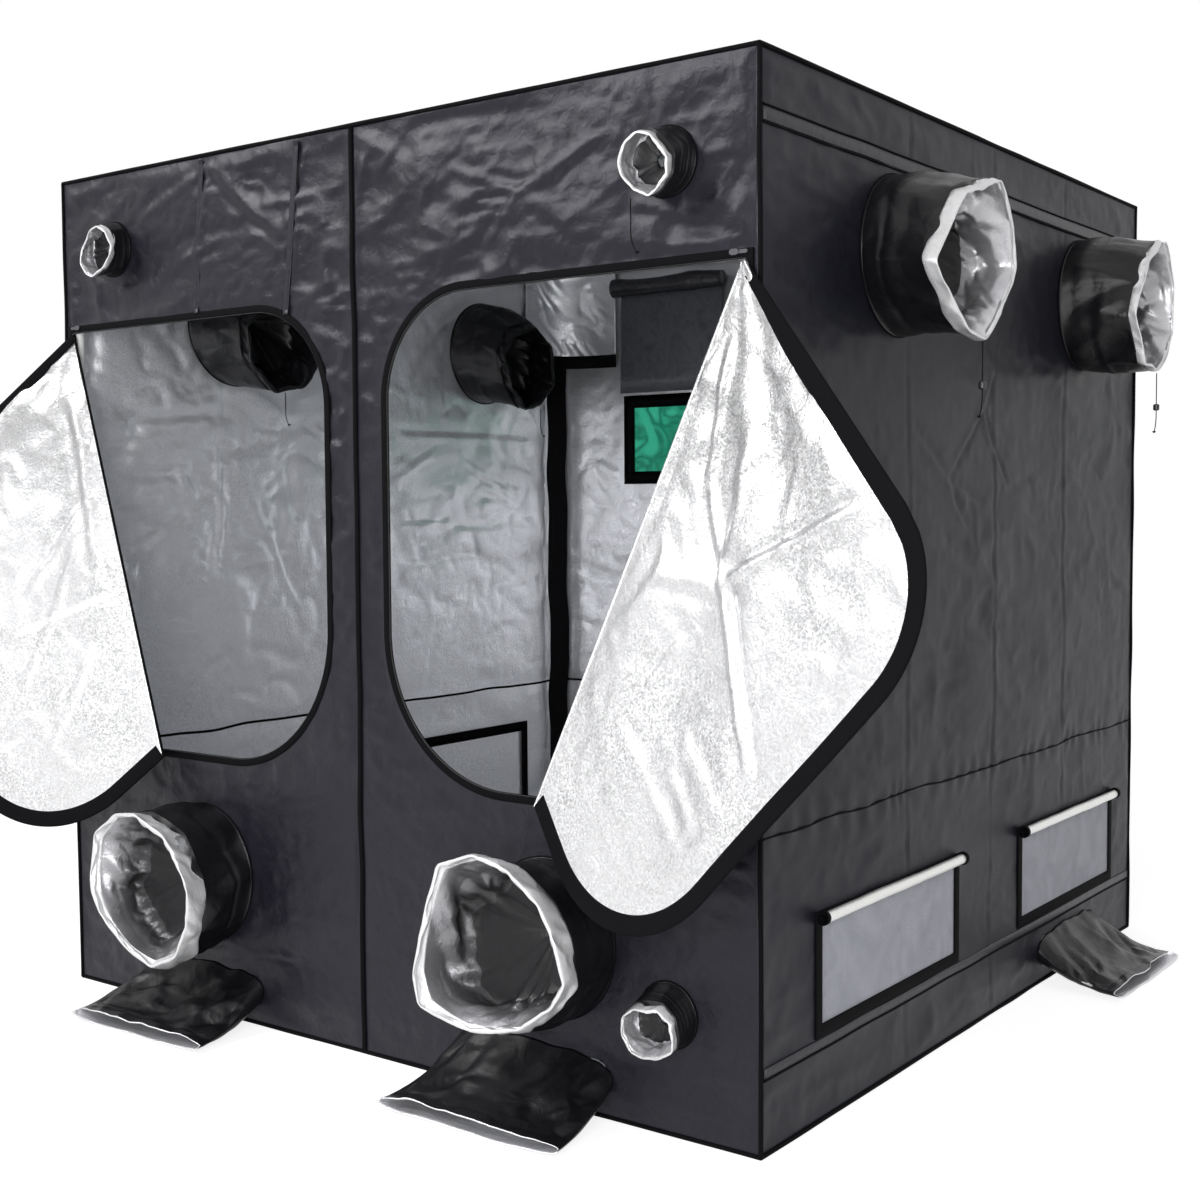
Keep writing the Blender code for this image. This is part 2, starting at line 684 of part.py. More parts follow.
# Duct sleeves: a closed skin that runs out along the sleeve, over the turned-back
# cuff at its mouth, and back inside to the root.

def polygon_share(angle, corners, phase):
    """Radius of a regular polygon round the middle, as a share of its corners' radius."""
    sector = 2 * math.pi / corners
    offset = (angle - phase) % sector - sector / 2
    return math.cos(sector / 2) / math.cos(offset)


def sleeve_radius(angle, share, root, mouth, corners, phase):
    """Radius of the sleeve's outside at an angle and a share of its length."""
    swell = 1.0 + SLEEVE_SWELL_SHARE * math.sin(math.pi * share)
    base = (root + (mouth - root) * share) * swell
    facet = 1.0 + share ** 1.5 * (polygon_share(angle, corners, phase) - 1.0)
    creases = math.sin(math.pi * share) * math.sin(corners * angle + 3.0 * share + phase)
    folds = 1.0 + SLEEVE_FOLD_SHARE * creases
    oval = 1.0 + SLEEVE_OVAL_SHARE * share * math.cos(2 * angle + phase)
    return base * facet * folds * oval


def loop_mesh(name, rows):
    """Closed skin over a grid of points that wraps round in both directions."""
    work = bmesh.new()
    verts = [[work.verts.new(point) for point in row] for row in rows]
    for i, row in enumerate(verts):
        following = verts[(i + 1) % len(verts)]
        for j in range(len(row)):
            k = (j + 1) % len(row)
            work.faces.new((row[j], row[k], following[k], following[j]))
    bmesh.ops.recalc_face_normals(work, faces=work.faces)
    mesh = bpy.data.meshes.new(name)
    work.to_mesh(mesh)
    work.free()
    smooth(mesh, 50.0)
    return mesh


def sleeve(name, placement, length, root, mouth, cuff, rise, corners, phase, sides):
    """One sleeve that leaves the wall along local Z, with local Y up."""
    cuff_share = 1.0 - cuff / length
    rings = (0.0, *SLEEVE_RING_SHARES)
    profile = [(share, 0.0) for share in rings]
    profile += [(cuff_share, 0.0), (cuff_share, CUFF_STEP), (1.0, CUFF_STEP), (1.0, -SLEEVE_WALL)]
    profile += [(share, -SLEEVE_WALL) for share in reversed(rings)]
    rows = []
    for share, step in profile:
        row = []
        for side in range(sides):
            angle = 2 * math.pi * side / sides
            radius = sleeve_radius(angle, share, root, mouth, corners, phase) + step
            ripple = MOUTH_RIPPLE_SHARE * length * share * math.cos(3 * angle + phase)
            row.append((radius * math.cos(angle), radius * math.sin(angle) + rise * share ** 2,
                        share * length + ripple))
        rows.append(row)
    return add_object(name, loop_mesh(name, rows), "sleeve_cloth", placement)


def sleeves():
    """Outer sleeves on the front and the right, and inner ones on the left."""
    out = SEAM_GAP
    front = -HALF_DEPTH - out
    sleeve("duct_sleeve_front_left", at(-FRONT_SLEEVE_X, front, FRONT_SLEEVE_Z, FRONT), FRONT_SLEEVE_LENGTH,
           BIG_ROOT, BIG_MOUTH, BIG_CUFF, FRONT_SLEEVE_RISE, 7, 0.25, 28)
    sleeve("duct_sleeve_front_right", at(FRONT_SLEEVE_X, front, FRONT_SLEEVE_Z, FRONT), FRONT_SLEEVE_LENGTH,
           BIG_ROOT, BIG_MOUTH, BIG_CUFF, FRONT_SLEEVE_RISE, 6, 0.85, 24)
    right = HALF_WIDTH + out
    for end, y, phase in (("front", SIDE_SLEEVE_FRONT_Y, 0.5), ("rear", SIDE_SLEEVE_REAR_Y, 0.9)):
        sleeve(f"duct_sleeve_right_{end}", at(right, y, SIDE_SLEEVE_Z, RIGHT), SIDE_SLEEVE_LENGTH,
               BIG_ROOT, SIDE_MOUTH, SIDE_CUFF, -SIDE_SLEEVE_SAG, 6, phase, 24)
    inside = -HALF_WIDTH + SKIN + out
    for end, y, phase in (("front", SIDE_SLEEVE_FRONT_Y, 0.3), ("rear", SIDE_SLEEVE_REAR_Y, 0.7)):
        sleeve(f"inner_sleeve_left_{end}", at(inside, y, SIDE_SLEEVE_Z, RIGHT), INNER_SLEEVE_LENGTH,
               BIG_ROOT, INNER_MOUTH, INNER_CUFF, -INNER_SLEEVE_SAG, 7, phase, 28)
    ports = (("top_left", -PORT_TOP_X, PORT_TOP_Z, 0.3), ("top_right", PORT_TOP_X, PORT_TOP_Z, 0.0),
             ("low_right", PORT_LOW_X, PORT_LOW_Z, 0.6))
    for place, x, z, phase in ports:
        sleeve(f"cable_port_{place}", at(x, front, z, FRONT), PORT_LENGTH,
               PORT_ROOT, PORT_MOUTH, PORT_CUFF, -PORT_SAG, 6, phase, 18)


def sock_point(angle, share, step):
    """Point of a floor sock's skin: wide and round at its root, flat at its mouth."""
    ease = (1.0 - share) ** 2
    height = SOCK_MOUTH_HEIGHT + (SOCK_ROOT_HEIGHT - SOCK_MOUTH_HEIGHT) * ease
    low = SOCK_LIFT + (SOCK_ROOT_LOW - SOCK_LIFT) * ease
    half_wide = (SOCK_WIDTH + (SOCK_MOUTH_WIDTH - SOCK_WIDTH) * share) / 2 + step
    half_high = height / 2 + step
    across = math.copysign(abs(math.cos(angle)) ** 0.55, math.cos(angle)) * half_wide
    up = math.copysign(abs(math.sin(angle)) ** 0.8, math.sin(angle)) * half_high
    wave = math.sin(math.pi * share) * math.sin(5 * math.pi * across / SOCK_WIDTH)
    if up > 0.0:
        up *= 1.0 + SOCK_CRUMPLE_SHARE * wave
    return across, low + height / 2 + up


def sock(name, placement):
    """One floor sock, leaving the wall along local Z and resting on the ground."""
    rings = (0.0, *SOCK_RING_SHARES, 1.0)
    profile = [(share, 0.0) for share in rings]
    profile += [(share, -SLEEVE_WALL) for share in reversed(rings)]
    sides = 28
    rows = []
    for share, step in profile:
        row = []
        for side in range(sides):
            across, up = sock_point(2 * math.pi * (side + 0.5) / sides, share, step)
            row.append((across, up, share * SOCK_LENGTH))
        rows.append(row)
    add_object(name, loop_mesh(name, rows), "sleeve_cloth", placement)


def socks():
    """Two floor socks at the front and one on the right."""
    front = -HALF_DEPTH - SEAM_GAP
    sock("floor_sock_front_left", at(SOCK_FRONT_LEFT_X, front, 0.0, FRONT))
    sock("floor_sock_front_right", at(SOCK_FRONT_RIGHT_X, front, 0.0, FRONT))
    sock("floor_sock_right", at(HALF_WIDTH + SEAM_GAP, SOCK_SIDE_Y, 0.0, RIGHT))


# Vents and window: sheets sewn into their holes, each with a cover that is rolled up.

def roll_outline(tail, direction):
    """Closed outline of a sheet rolled into a spiral, with a straight tail.

    The middle of the roll is the origin. The tail leaves the outermost turn on the
    side at -X, and runs up (1) or down (-1).
    """
    outer = []
    inner = []
    steps = int(ROLL_TURNS * 14)
    for step in range(steps + 1):
        turn = ROLL_TURNS * step / steps
        angle = math.pi + direction * 2 * math.pi * (ROLL_TURNS - turn)
        radius = ROLL_CORE + ROLL_PITCH * turn
        outer.append((radius * math.cos(angle), radius * math.sin(angle)))
        inner.append(((radius - ROLL_SHEET) * math.cos(angle), (radius - ROLL_SHEET) * math.sin(angle)))
    outer.append((outer[-1][0], direction * tail))
    inner.append((inner[-1][0], direction * tail))
    return outer + inner[::-1]


def roll_radius():
    """Outer radius of a rolled cover."""
    return ROLL_CORE + ROLL_PITCH * ROLL_TURNS


def rolled_cover(name, slot, length, tail, direction, placement):
    """Rolled sheet, extruded along local Z."""
    mesh = flat_mesh(name, [roll_outline(tail, direction)], length)
    smooth(mesh)
    add_object(name, mesh, slot, placement)


def vents():
    """Two mesh vents in the right wall, each below its rolled cover."""
    across = Matrix(((1, 0, 0), (0, 0, -1), (0, 1, 0))).to_4x4()
    for end, y in (("front", VENT_FRONT_Y), ("rear", VENT_REAR_Y)):
        middle = VENT_LOW + VENT_HEIGHT / 2
        reach = VENT_WIDTH / 2 - SEAM_GAP
        rise = VENT_HEIGHT / 2 - SEAM_GAP
        mesh = flat_mesh(f"vent_mesh_{end}", [rectangle(-reach, reach, -rise, rise)], VENT_SHEET)
        add_object(f"vent_mesh_{end}", mesh, "vent_mesh", at(HALF_WIDTH - SKIN / 2, y, middle, RIGHT))
        x = HALF_WIDTH + SEAM_GAP + roll_radius()
        z = VENT_LOW + VENT_HEIGHT + roll_radius() / 2
        place = Matrix.Translation((x, y, z)) @ across
        rolled_cover(f"vent_cover_{end}", "vent_cover_cloth", VENT_WIDTH + 2 * ROLL_OVERHANG, ROLL_TAIL, 1, place)


def window():
    """Green film in the back wall and the blackout cover rolled up above it."""
    reach = WINDOW_WIDTH / 2 - SEAM_GAP
    rise = WINDOW_HEIGHT / 2 - SEAM_GAP
    mesh = flat_mesh("window_film", [rectangle(-reach, reach, -rise, rise)], WINDOW_SHEET)
    middle = WINDOW_LOW + WINDOW_HEIGHT / 2
    add_object("window_film", mesh, "green_film", at(WINDOW_X, HALF_DEPTH - SKIN / 2, middle, BACK))
    towards = Matrix(((0, 0, 1), (-1, 0, 0), (0, 1, 0))).to_4x4()
    y = HALF_DEPTH - SKIN - SEAM_GAP - roll_radius()
    place = Matrix.Translation((WINDOW_X, y, WINDOW_COVER_TOP - roll_radius())) @ towards
    rolled_cover("window_cover", "blackout_film", WINDOW_WIDTH + 2 * WINDOW_COVER_MARGIN,
                 WINDOW_COVER_LENGTH, -1, place)


# Drawcords: each hangs from its cuff, straight through its toggle, to a loose tail.

def cord_points(top, straight, tail, aside):
    """Points down the straight stretch and along the tail, which drifts aside."""
    count = max(2, round(straight / CORD_STEP))
    points = [top - Vector((0.0, 0.0, straight * step / count)) for step in range(count + 1)]
    count = max(2, round(tail / CORD_STEP))
    for step in range(1, count + 1):
        share = step / count
        drift = aside * (CORD_TAIL_SHARE * tail * share ** 2)
        points.append(points[0] - Vector((0.0, 0.0, straight + tail * share)) + drift)
    return points


def drawcord(name, top, straight, tail, aside):
    """Cord as a thin curve object with filled ends."""
    points = cord_points(Vector(top), straight, tail, Vector(aside))
    curve = bpy.data.curves.new(name, "CURVE")
    curve.dimensions = "3D"
    curve.bevel_depth = CORD_RADIUS
    curve.bevel_resolution = 2
    curve.use_fill_caps = True
    spline = curve.splines.new("POLY")
    spline.points.add(len(points) - 1)
    for target, point in zip(spline.points, points):
        target.co = (*point, 1.0)
    add_object(name, curve, "drawcord")


def toggle(name, top):
    """Barrel-shaped cord lock with a bore for the cord."""
    bore = CORD_RADIUS + TOGGLE_BORE_CLEARANCE
    half = TOGGLE_HEIGHT / 2
    profile = [(bore, half), (TOGGLE_RADIUS - TOGGLE_ROUND, half), (TOGGLE_RADIUS, half - TOGGLE_ROUND),
               (TOGGLE_RADIUS, TOGGLE_ROUND - half), (TOGGLE_RADIUS - TOGGLE_ROUND, -half), (bore, -half)]
    mesh = turned_mesh(name, profile, 18)
    add_object(name, mesh, "toggle_plastic", at(top[0], top[1], top[2] - TOGGLE_DROP))


def lowest_corner(piece, reach):
    """World point just under the lowest part of a sleeve's mouth, near its end."""
    points = [piece.matrix_world @ vert.co for vert in piece.data.vertices]
    axis = piece.matrix_world.to_3x3() @ Vector((0.0, 0.0, 1.0))
    origin = piece.matrix_world.translation
    near_mouth = [p for p in points if (p - origin).dot(axis) > reach]
    lowest = min(near_mouth, key=lambda p: p.z)
    return lowest - Vector((0.0, 0.0, CORD_GAP))


def drawcords():
    """Cords of the right-hand sleeves, the top right port and the inner sleeves."""
    bpy.context.view_layer.update()
    pieces = bpy.data.objects
    for end in ("front", "rear"):
        top = lowest_corner(pieces[f"duct_sleeve_right_{end}"], SIDE_SLEEVE_LENGTH - SIDE_CUFF * CUFF_CORD_SHARE)
        drawcord(f"drawcord_right_{end}", top, SIDE_CORD_STRAIGHT, SIDE_CORD_TAIL, (0.0, -1.0, 0.0))
        toggle(f"toggle_right_{end}", top)
        top = lowest_corner(pieces[f"inner_sleeve_left_{end}"], INNER_SLEEVE_LENGTH - INNER_CUFF * CUFF_CORD_SHARE)
        drawcord(f"drawcord_inner_{end}", top, INNER_CORD_STRAIGHT, INNER_CORD_TAIL, (1.0, 0.0, 0.0))
    top = lowest_corner(pieces["cable_port_top_right"], PORT_LENGTH - PORT_CUFF * CUFF_CORD_SHARE)
    drawcord("drawcord_port", top, PORT_CORD_STRAIGHT, PORT_CORD_TAIL, (1.0, 0.0, 0.0))


def build():
    """The whole tent."""
    frame()
    for place, sign in (("left", -1), ("right", 1)):
        roof_bar(f"roof_bar_{place}", sign * BAR_OFFSET)
    level_panel("floor_panel", SKIN / 2)
    level_panel("roof_panel", HEIGHT - SKIN / 2)
    front_walls()
    right_wall()
    left_wall()
    back_wall()
    for side, sign in (("left", -1), ("right", 1)):
        door(side, sign)
        zip_slider(side, sign)
    sleeves()
    socks()
    vents()
    window()
    drawcords()


build()
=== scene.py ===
"""Looks of the indoor grow tent: its cloth, linings, cords, steel and film."""
import math

import bpy
import numpy as np
from mathutils import Matrix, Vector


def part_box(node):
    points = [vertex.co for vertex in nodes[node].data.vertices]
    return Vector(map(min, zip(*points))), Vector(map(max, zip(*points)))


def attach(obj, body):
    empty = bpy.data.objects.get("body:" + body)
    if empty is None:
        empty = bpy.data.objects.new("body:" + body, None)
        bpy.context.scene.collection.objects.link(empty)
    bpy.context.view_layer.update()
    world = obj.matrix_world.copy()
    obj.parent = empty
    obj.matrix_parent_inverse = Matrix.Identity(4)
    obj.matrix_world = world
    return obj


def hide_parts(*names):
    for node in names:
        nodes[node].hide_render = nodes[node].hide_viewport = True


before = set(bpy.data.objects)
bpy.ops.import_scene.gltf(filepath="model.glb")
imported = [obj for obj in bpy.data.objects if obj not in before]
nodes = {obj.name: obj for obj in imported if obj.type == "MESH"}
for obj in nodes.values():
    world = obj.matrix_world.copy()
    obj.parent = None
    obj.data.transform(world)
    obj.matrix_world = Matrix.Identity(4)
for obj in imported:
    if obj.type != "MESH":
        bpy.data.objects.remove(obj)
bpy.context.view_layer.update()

scene = bpy.context.scene

# Camera: it stands off the tent's near right corner at chest height and looks slightly
# down. Its place was fitted to the straight edges of the tent's cube.
EYE = np.array((2.48344, -3.48861, 1.18646))
YAW = -0.63611
PITCH = -0.05704
ROLL = -0.00673
FOCAL_SHARE = 1.35172
SENSOR = 36.0

look = np.array((math.sin(YAW) * math.cos(PITCH), math.cos(YAW) * math.cos(PITCH), math.sin(PITCH)))
level = np.cross(look, (0.0, 0.0, 1.0))
level /= np.linalg.norm(level)
upright = np.cross(level, look)
across_view = math.cos(ROLL) * level + math.sin(ROLL) * upright
up_view = math.cos(ROLL) * upright - math.sin(ROLL) * level
camera = bpy.data.objects.new("camera", bpy.data.cameras.new("camera"))
scene.collection.objects.link(camera)
turn = np.eye(4)
turn[:3, 0] = across_view
turn[:3, 1] = up_view
turn[:3, 2] = -look
turn[:3, 3] = EYE
camera.matrix_world = Matrix(turn)
camera.data.sensor_width = SENSOR
camera.data.lens = FOCAL_SHARE * SENSOR
scene.camera = camera
scene.view_settings.view_transform = "Standard"

# Drawcords: thin black braided cord that pulls each cuff shut. Each leaves the underside
# of its cuff, hangs through its toggle and ends in a knot.
CORD_RADIUS = 0.00125
CORD_POINT_STEP = 0.0075
CORD_DRIFT_SHARE = 0.35
KNOT_RADIUS = 0.0034
CORD_CURVE_POINTS = 8
KNOT_STRAND = 0.0011
KNOT_POINTS = 60
KNOT_SIDES = 8
ROUND_SIDES = 10
BRAID_PITCH = 0.0016
BRAID_DEPTH_SHARE = 0.1


def add_node(tree, kind, inputs=None, **settings):
    """New shader node with its settings, and its inputs as values or as links."""
    made = tree.nodes.new("ShaderNode" + kind)
    for name, value in settings.items():
        setattr(made, name, value)
    for socket, value in (inputs or {}).items():
        if isinstance(value, bpy.types.NodeSocket):
            tree.links.new(value, made.inputs[socket])
        else:
            made.inputs[socket].default_value = value
    return made


def new_finish(name, colour, roughness, **sockets):
    """New material; the sockets that stay the same all over are set on its shader."""
    made = bpy.data.materials.new(name)
    made.use_nodes = True
    shader = made.node_tree.nodes["Principled BSDF"]
    shader.inputs["Base Color"].default_value = (*colour, 1.0)
    shader.inputs["Roughness"].default_value = roughness
    for socket, value in sockets.items():
        shader.inputs[socket.replace("_", " ")].default_value = value
    return made, made.node_tree, shader


def raise_by(tree, shader, reliefs):
    """Chain of bumps on a shader: each relief is a height, in metres, and its strength."""
    normal = None
    for height, distance, strength in reliefs:
        inputs = {"Height": height, "Distance": distance, "Strength": strength}
        if normal:
            inputs["Normal"] = normal
        normal = add_node(tree, "Bump", inputs).outputs["Normal"]
    tree.links.new(normal, shader.inputs["Normal"])


def shade_by(tree, shader, pattern, low, high, colours):
    """Base colour that runs between two colours as a pattern runs from low to high."""
    span = add_node(tree, "MapRange", {"Value": pattern, "From Min": low, "From Max": high})
    mix = add_node(tree, "Mix", {"Factor": span.outputs["Result"]}, data_type="RGBA")
    for socket in mix.inputs:
        if socket.type == "RGBA":
            socket.default_value = (*colours[0 if socket.name == "A" else 1], 1.0)
    colour = [socket for socket in mix.outputs if socket.type == "RGBA"][0]
    tree.links.new(colour, shader.inputs["Base Color"])


def maths(tree, operation, *values):
    """Result of one sum in a shader, on sockets or numbers."""
    return add_node(tree, "Math", dict(enumerate(values)), operation=operation).outputs[0]


def parts_of(tree, vector):
    """The X, Y and Z of a vector in a shader."""
    return add_node(tree, "SeparateXYZ", {"Vector": vector}).outputs


def own_map(tree):
    """Place in a piece's own map, in metres along and across it."""
    return parts_of(tree, add_node(tree, "UVMap").outputs["UV"])


def braid_finish(name, colour, pitch):
    """Braided or woven yarn: two crossing diagonal waves in the piece's own map, in metres. The colour is
    painted shade in the grooves between the yarns and painted highlight on their crests.
    """
    made, tree, shader = new_finish(name, colour, 0.7, Specular_IOR_Level=0.04)
    spot = own_map(tree)
    turns = 2 * math.pi / pitch
    waves = []
    for sign in (1.0, -1.0):
        along = maths(tree, "MULTIPLY", spot["X"], turns)
        aside = maths(tree, "MULTIPLY", spot["Y"], sign * turns)
        waves.append(maths(tree, "SINE", maths(tree, "ADD", along, aside)))
    yarn = maths(tree, "MAXIMUM", *waves)
    # Painted shade and highlight: darker in the grooves between the yarns, paler on their crests.
    shade_by(tree, shader, yarn, -0.2, 1.0, [tuple(part * c for c in colour) for part in (0.45, 1.6)])
    raise_by(tree, shader, [(yarn, BRAID_DEPTH_SHARE * pitch, 0.8)])
    return made


def volume(points, groups):
    """Signed volume inside faces: it is negative where they are inside out."""
    total = 0.0
    for group in groups:
        first = points[group[:, 0]]
        for k in range(1, group.shape[1] - 1):
            total += np.sum(first * np.cross(points[group[:, k]], points[group[:, k + 1]]))
    return total


def new_piece(name, points, faces, finishes, slots=None, maps=None, solid=True):
    """Mesh object from arrays: points, faces in groups of one size, and their materials and map."""
    groups = faces if isinstance(faces, list) else [faces]
    maps = maps if maps is None or isinstance(maps, list) else [maps]
    points = np.asarray(points, float).reshape(-1, 3)
    if solid and volume(points, groups) < 0.0:
        groups = [group[:, ::-1] for group in groups]
        maps = maps and [group[:, ::-1] for group in maps]
    corners = np.concatenate([group.ravel() for group in groups])
    sizes = np.concatenate([np.full(len(group), group.shape[1]) for group in groups])
    mesh = bpy.data.meshes.new(name)
    mesh.vertices.add(len(points))
    mesh.vertices.foreach_set("co", points.astype(np.float32).ravel())
    mesh.loops.add(len(corners))
    mesh.loops.foreach_set("vertex_index", corners.astype(np.int32))
    mesh.polygons.add(len(sizes))
    mesh.polygons.foreach_set("loop_start", (np.cumsum(sizes) - sizes).astype(np.int32))
    for finish in finishes:
        mesh.materials.append(finish)
    if slots is not None:
        mesh.polygons.foreach_set("material_index", np.asarray(slots, np.int32))
    if maps:
        layer = mesh.uv_layers.new(name="map")
        layer.data.foreach_set("uv", np.concatenate([group.reshape(-1, 2) for group in maps])
                               .astype(np.float32).ravel())
    mesh.update(calc_edges=True)
    mesh.shade_smooth()
    piece = bpy.data.objects.new(name, mesh)
    scene.collection.objects.link(piece)
    return piece


def grid_quads(rows, columns, wrap_rows=False, wrap_columns=False):
    """Corner indices of each cell in a grid of points, which may wrap round either way."""
    i, j = np.meshgrid(np.arange(rows if wrap_rows else rows - 1),
                       np.arange(columns if wrap_columns else columns - 1), indexing="ij")
    i = i.ravel()
    j = j.ravel()
    k = (i + 1) % rows
    m = (j + 1) % columns
    return np.stack([i * columns + j, k * columns + j, k * columns + m, i * columns + m], axis=1)


def run_lengths(points, closed=False):
    """Distance along a row of points, from 0; a closed row ends back at its start."""
    if closed:
        points = np.concatenate([points, points[:1]])
    steps = np.linalg.norm(np.diff(points, axis=0), axis=1)
    return np.concatenate([[0.0], np.cumsum(steps)])


def carried(name, path, side, out, profile, finish, closed=False):
    """A closed profile carried along a path. Profile points are offsets towards side and out.

    Point (i, j) is path i plus profile j's first number times side i and second times out i.
    """
    path = np.asarray(path, float)
    side = np.broadcast_to(np.asarray(side, float), path.shape)
    out = np.broadcast_to(np.asarray(out, float), path.shape)
    profile = np.asarray(profile, float)
    points = (path[:, None] + side[:, None] * profile[None, :, :1] + out[:, None] * profile[None, :, 1:])
    rows, columns = len(path), len(profile)
    quads = grid_quads(rows, columns, wrap_rows=closed, wrap_columns=True)
    along = run_lengths(path, closed)
    around = run_lengths(np.column_stack([profile, np.zeros(columns)]), True)
    i = np.repeat(np.arange(rows if closed else rows - 1), columns)
    j = np.tile(np.arange(columns), rows if closed else rows - 1)
    maps = [np.stack([np.stack([along[i + a], around[j + b]], axis=1)
                      for a, b in ((0, 0), (1, 0), (1, 1), (0, 1))], axis=1)]
    groups = [quads]
    if not closed:
        start = np.arange(columns)[None, :]
        groups += [start[:, ::-1], start + (rows - 1) * columns]
        flat = profile[None] + 0.0
        maps += [flat[:, ::-1], flat]
    return new_piece(name, points, groups, [finish], maps=maps)


def ring(radius, sides):
    """Points of a circle as a profile."""
    angles = np.arange(sides) * 2 * np.pi / sides
    return np.stack([radius * np.cos(angles), radius * np.sin(angles)], axis=1)


def knot(name, place, finish):
    """Overhand knot pulled tight: a strand along a small trefoil curve."""
    t = np.linspace(0.0, 2 * np.pi, KNOT_POINTS, endpoint=False)
    curve = np.stack([np.sin(t) + 2 * np.sin(2 * t), np.cos(t) - 2 * np.cos(2 * t), -np.sin(3 * t)], axis=1)
    path = np.asarray(place) + curve * KNOT_RADIUS / 3
    ahead = np.roll(path, -1, axis=0) - np.roll(path, 1, axis=0)
    ahead /= np.linalg.norm(ahead, axis=1, keepdims=True)
    side = np.cross(ahead, path - np.asarray(place))
    side /= np.linalg.norm(side, axis=1, keepdims=True)
    return carried(name, path, side, np.cross(side, ahead), ring(KNOT_STRAND, KNOT_SIDES), finish,
                   closed=True)


def settle(piece, body="root", instead=None):
    """Names the body that a piece rides on and the solid that it replaces."""
    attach(piece, body)
    if instead:
        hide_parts(instead)


cord_braid = braid_finish("black_braid", (0.010, 0.010, 0.011), BRAID_PITCH)
CORDS = {
    "right_front": (0.105, 0.045, (0.0, -1.0, 0.0), "toggle_right_front"),
    "right_rear": (0.105, 0.045, (0.0, -1.0, 0.0), "toggle_right_rear"),
    "inner_front": (0.055, 0.035, (1.0, 0.0, 0.0), None),
    "inner_rear": (0.055, 0.035, (1.0, 0.0, 0.0), None),
    "port": (0.060, 0.040, (1.0, 0.0, 0.0), None),
}
for place, (straight, tail, aside, toggle) in CORDS.items():
    low, high = (np.array(corner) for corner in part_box(f"drawcord_{place}"))
    aside = np.array(aside)
    top = (low + high) / 2
    top[2] = high[2]
    for axis in (0, 1):
        if aside[axis] > 0:
            top[axis] = low[axis] + CORD_RADIUS
        if aside[axis] < 0:
            top[axis] = high[axis] - CORD_RADIUS
    down = np.arange(0.0, straight, CORD_POINT_STEP)
    share = np.linspace(0.0, 1.0, CORD_CURVE_POINTS)
    route = [top - np.array((0.0, 0.0, step)) for step in down]
    route += [top - np.array((0.0, 0.0, straight + tail * s)) + aside * CORD_DRIFT_SHARE * tail * s ** 2
              for s in share]
    route = np.array(route)
    cord = carried(f"cord_{place}", route, (1.0, 0.0, 0.0), (0.0, 1.0, 0.0), ring(CORD_RADIUS, ROUND_SIDES),
                   cord_braid)
    end_knot = knot(f"cord_knot_{place}", route[-1] + np.array((0.0, 0.0, KNOT_RADIUS)), cord_braid)
    settle(cord, instead=f"drawcord_{place}")
    settle(end_knot)

# Toggles: moulded black plastic cord locks, on the two cords of the right-hand sleeves.
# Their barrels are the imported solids, with the fine grain of a spark-eroded mould.
MOULD_GRAIN = 1800.0


def own_place(tree):
    """Place in a piece's own coordinates, in metres."""
    return add_node(tree, "TexCoord").outputs["Object"]


def speckle(tree, scale, detail, distortion=0.0):
    """Noise over a piece, with so many spots to the metre."""
    inputs = {"Vector": own_place(tree), "Scale": scale, "Detail": detail, "Distortion": distortion}
    return add_node(tree, "TexNoise", inputs).outputs[0]


def grained_finish(name, colour, roughness, scale, detail, shades, relief, **sockets):
    """Fine grain: one noise shades the colour and raises the surface by a height and a strength."""
    made, tree, shader = new_finish(name, colour, roughness, **sockets)
    grain = speckle(tree, scale, detail)
    shade_by(tree, shader, grain, 0.3, 0.7, shades)
    raise_by(tree, shader, [(grain, *relief)])
    return made


def coat(name, finish):
    """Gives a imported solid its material."""
    nodes[name].data.materials.clear()
    nodes[name].data.materials.append(finish)


toggle_plastic = grained_finish("toggle_plastic", (0.016, 0.016, 0.017), 0.42, MOULD_GRAIN, 2.0,
                                ((0.013, 0.013, 0.014), (0.020, 0.020, 0.021)), (0.0001, 0.5),
                                Specular_IOR_Level=0.5)
for end in ("front", "rear"):
    coat(f"toggle_right_{end}", toggle_plastic)

# Frame: white powder-coated steel tubes, pushed over zinc-plated corner connectors, and
# two cross bars that clip on the top rails.
PEEL_SCALE = 420.0
SPANGLE_SCALE = 160.0


def cell_greys(tree, scale):
    """Flat cells over a piece, so many to the metre, each with its own grey from 0 to 1."""
    cells = add_node(tree, "TexVoronoi", {"Vector": own_place(tree), "Scale": scale})
    return parts_of(tree, cells.outputs["Color"])["X"]


powder_coat = grained_finish("powder_coat", (0.78, 0.78, 0.77), 0.38, PEEL_SCALE, 2.0,
                             ((0.74, 0.74, 0.73), (0.82, 0.82, 0.81)), (0.0003, 0.5), Coat_Weight=0.15)
zinc_plate, tree, shader = new_finish("zinc_plate", (0.58, 0.59, 0.60), 0.30, Metallic=1.0)
spangle = cell_greys(tree, SPANGLE_SCALE)
shade_by(tree, shader, spangle, 0.0, 1.0, ((0.50, 0.51, 0.53), (0.66, 0.67, 0.68)))
raise_by(tree, shader, [(spangle, 0.0002, 0.3)])
for name in nodes:
    if name.startswith(("upright", "bottom_rail", "top_rail", "roof_bar")):
        coat(name, powder_coat)
    if name.startswith("corner"):
        coat(name, zinc_plate)

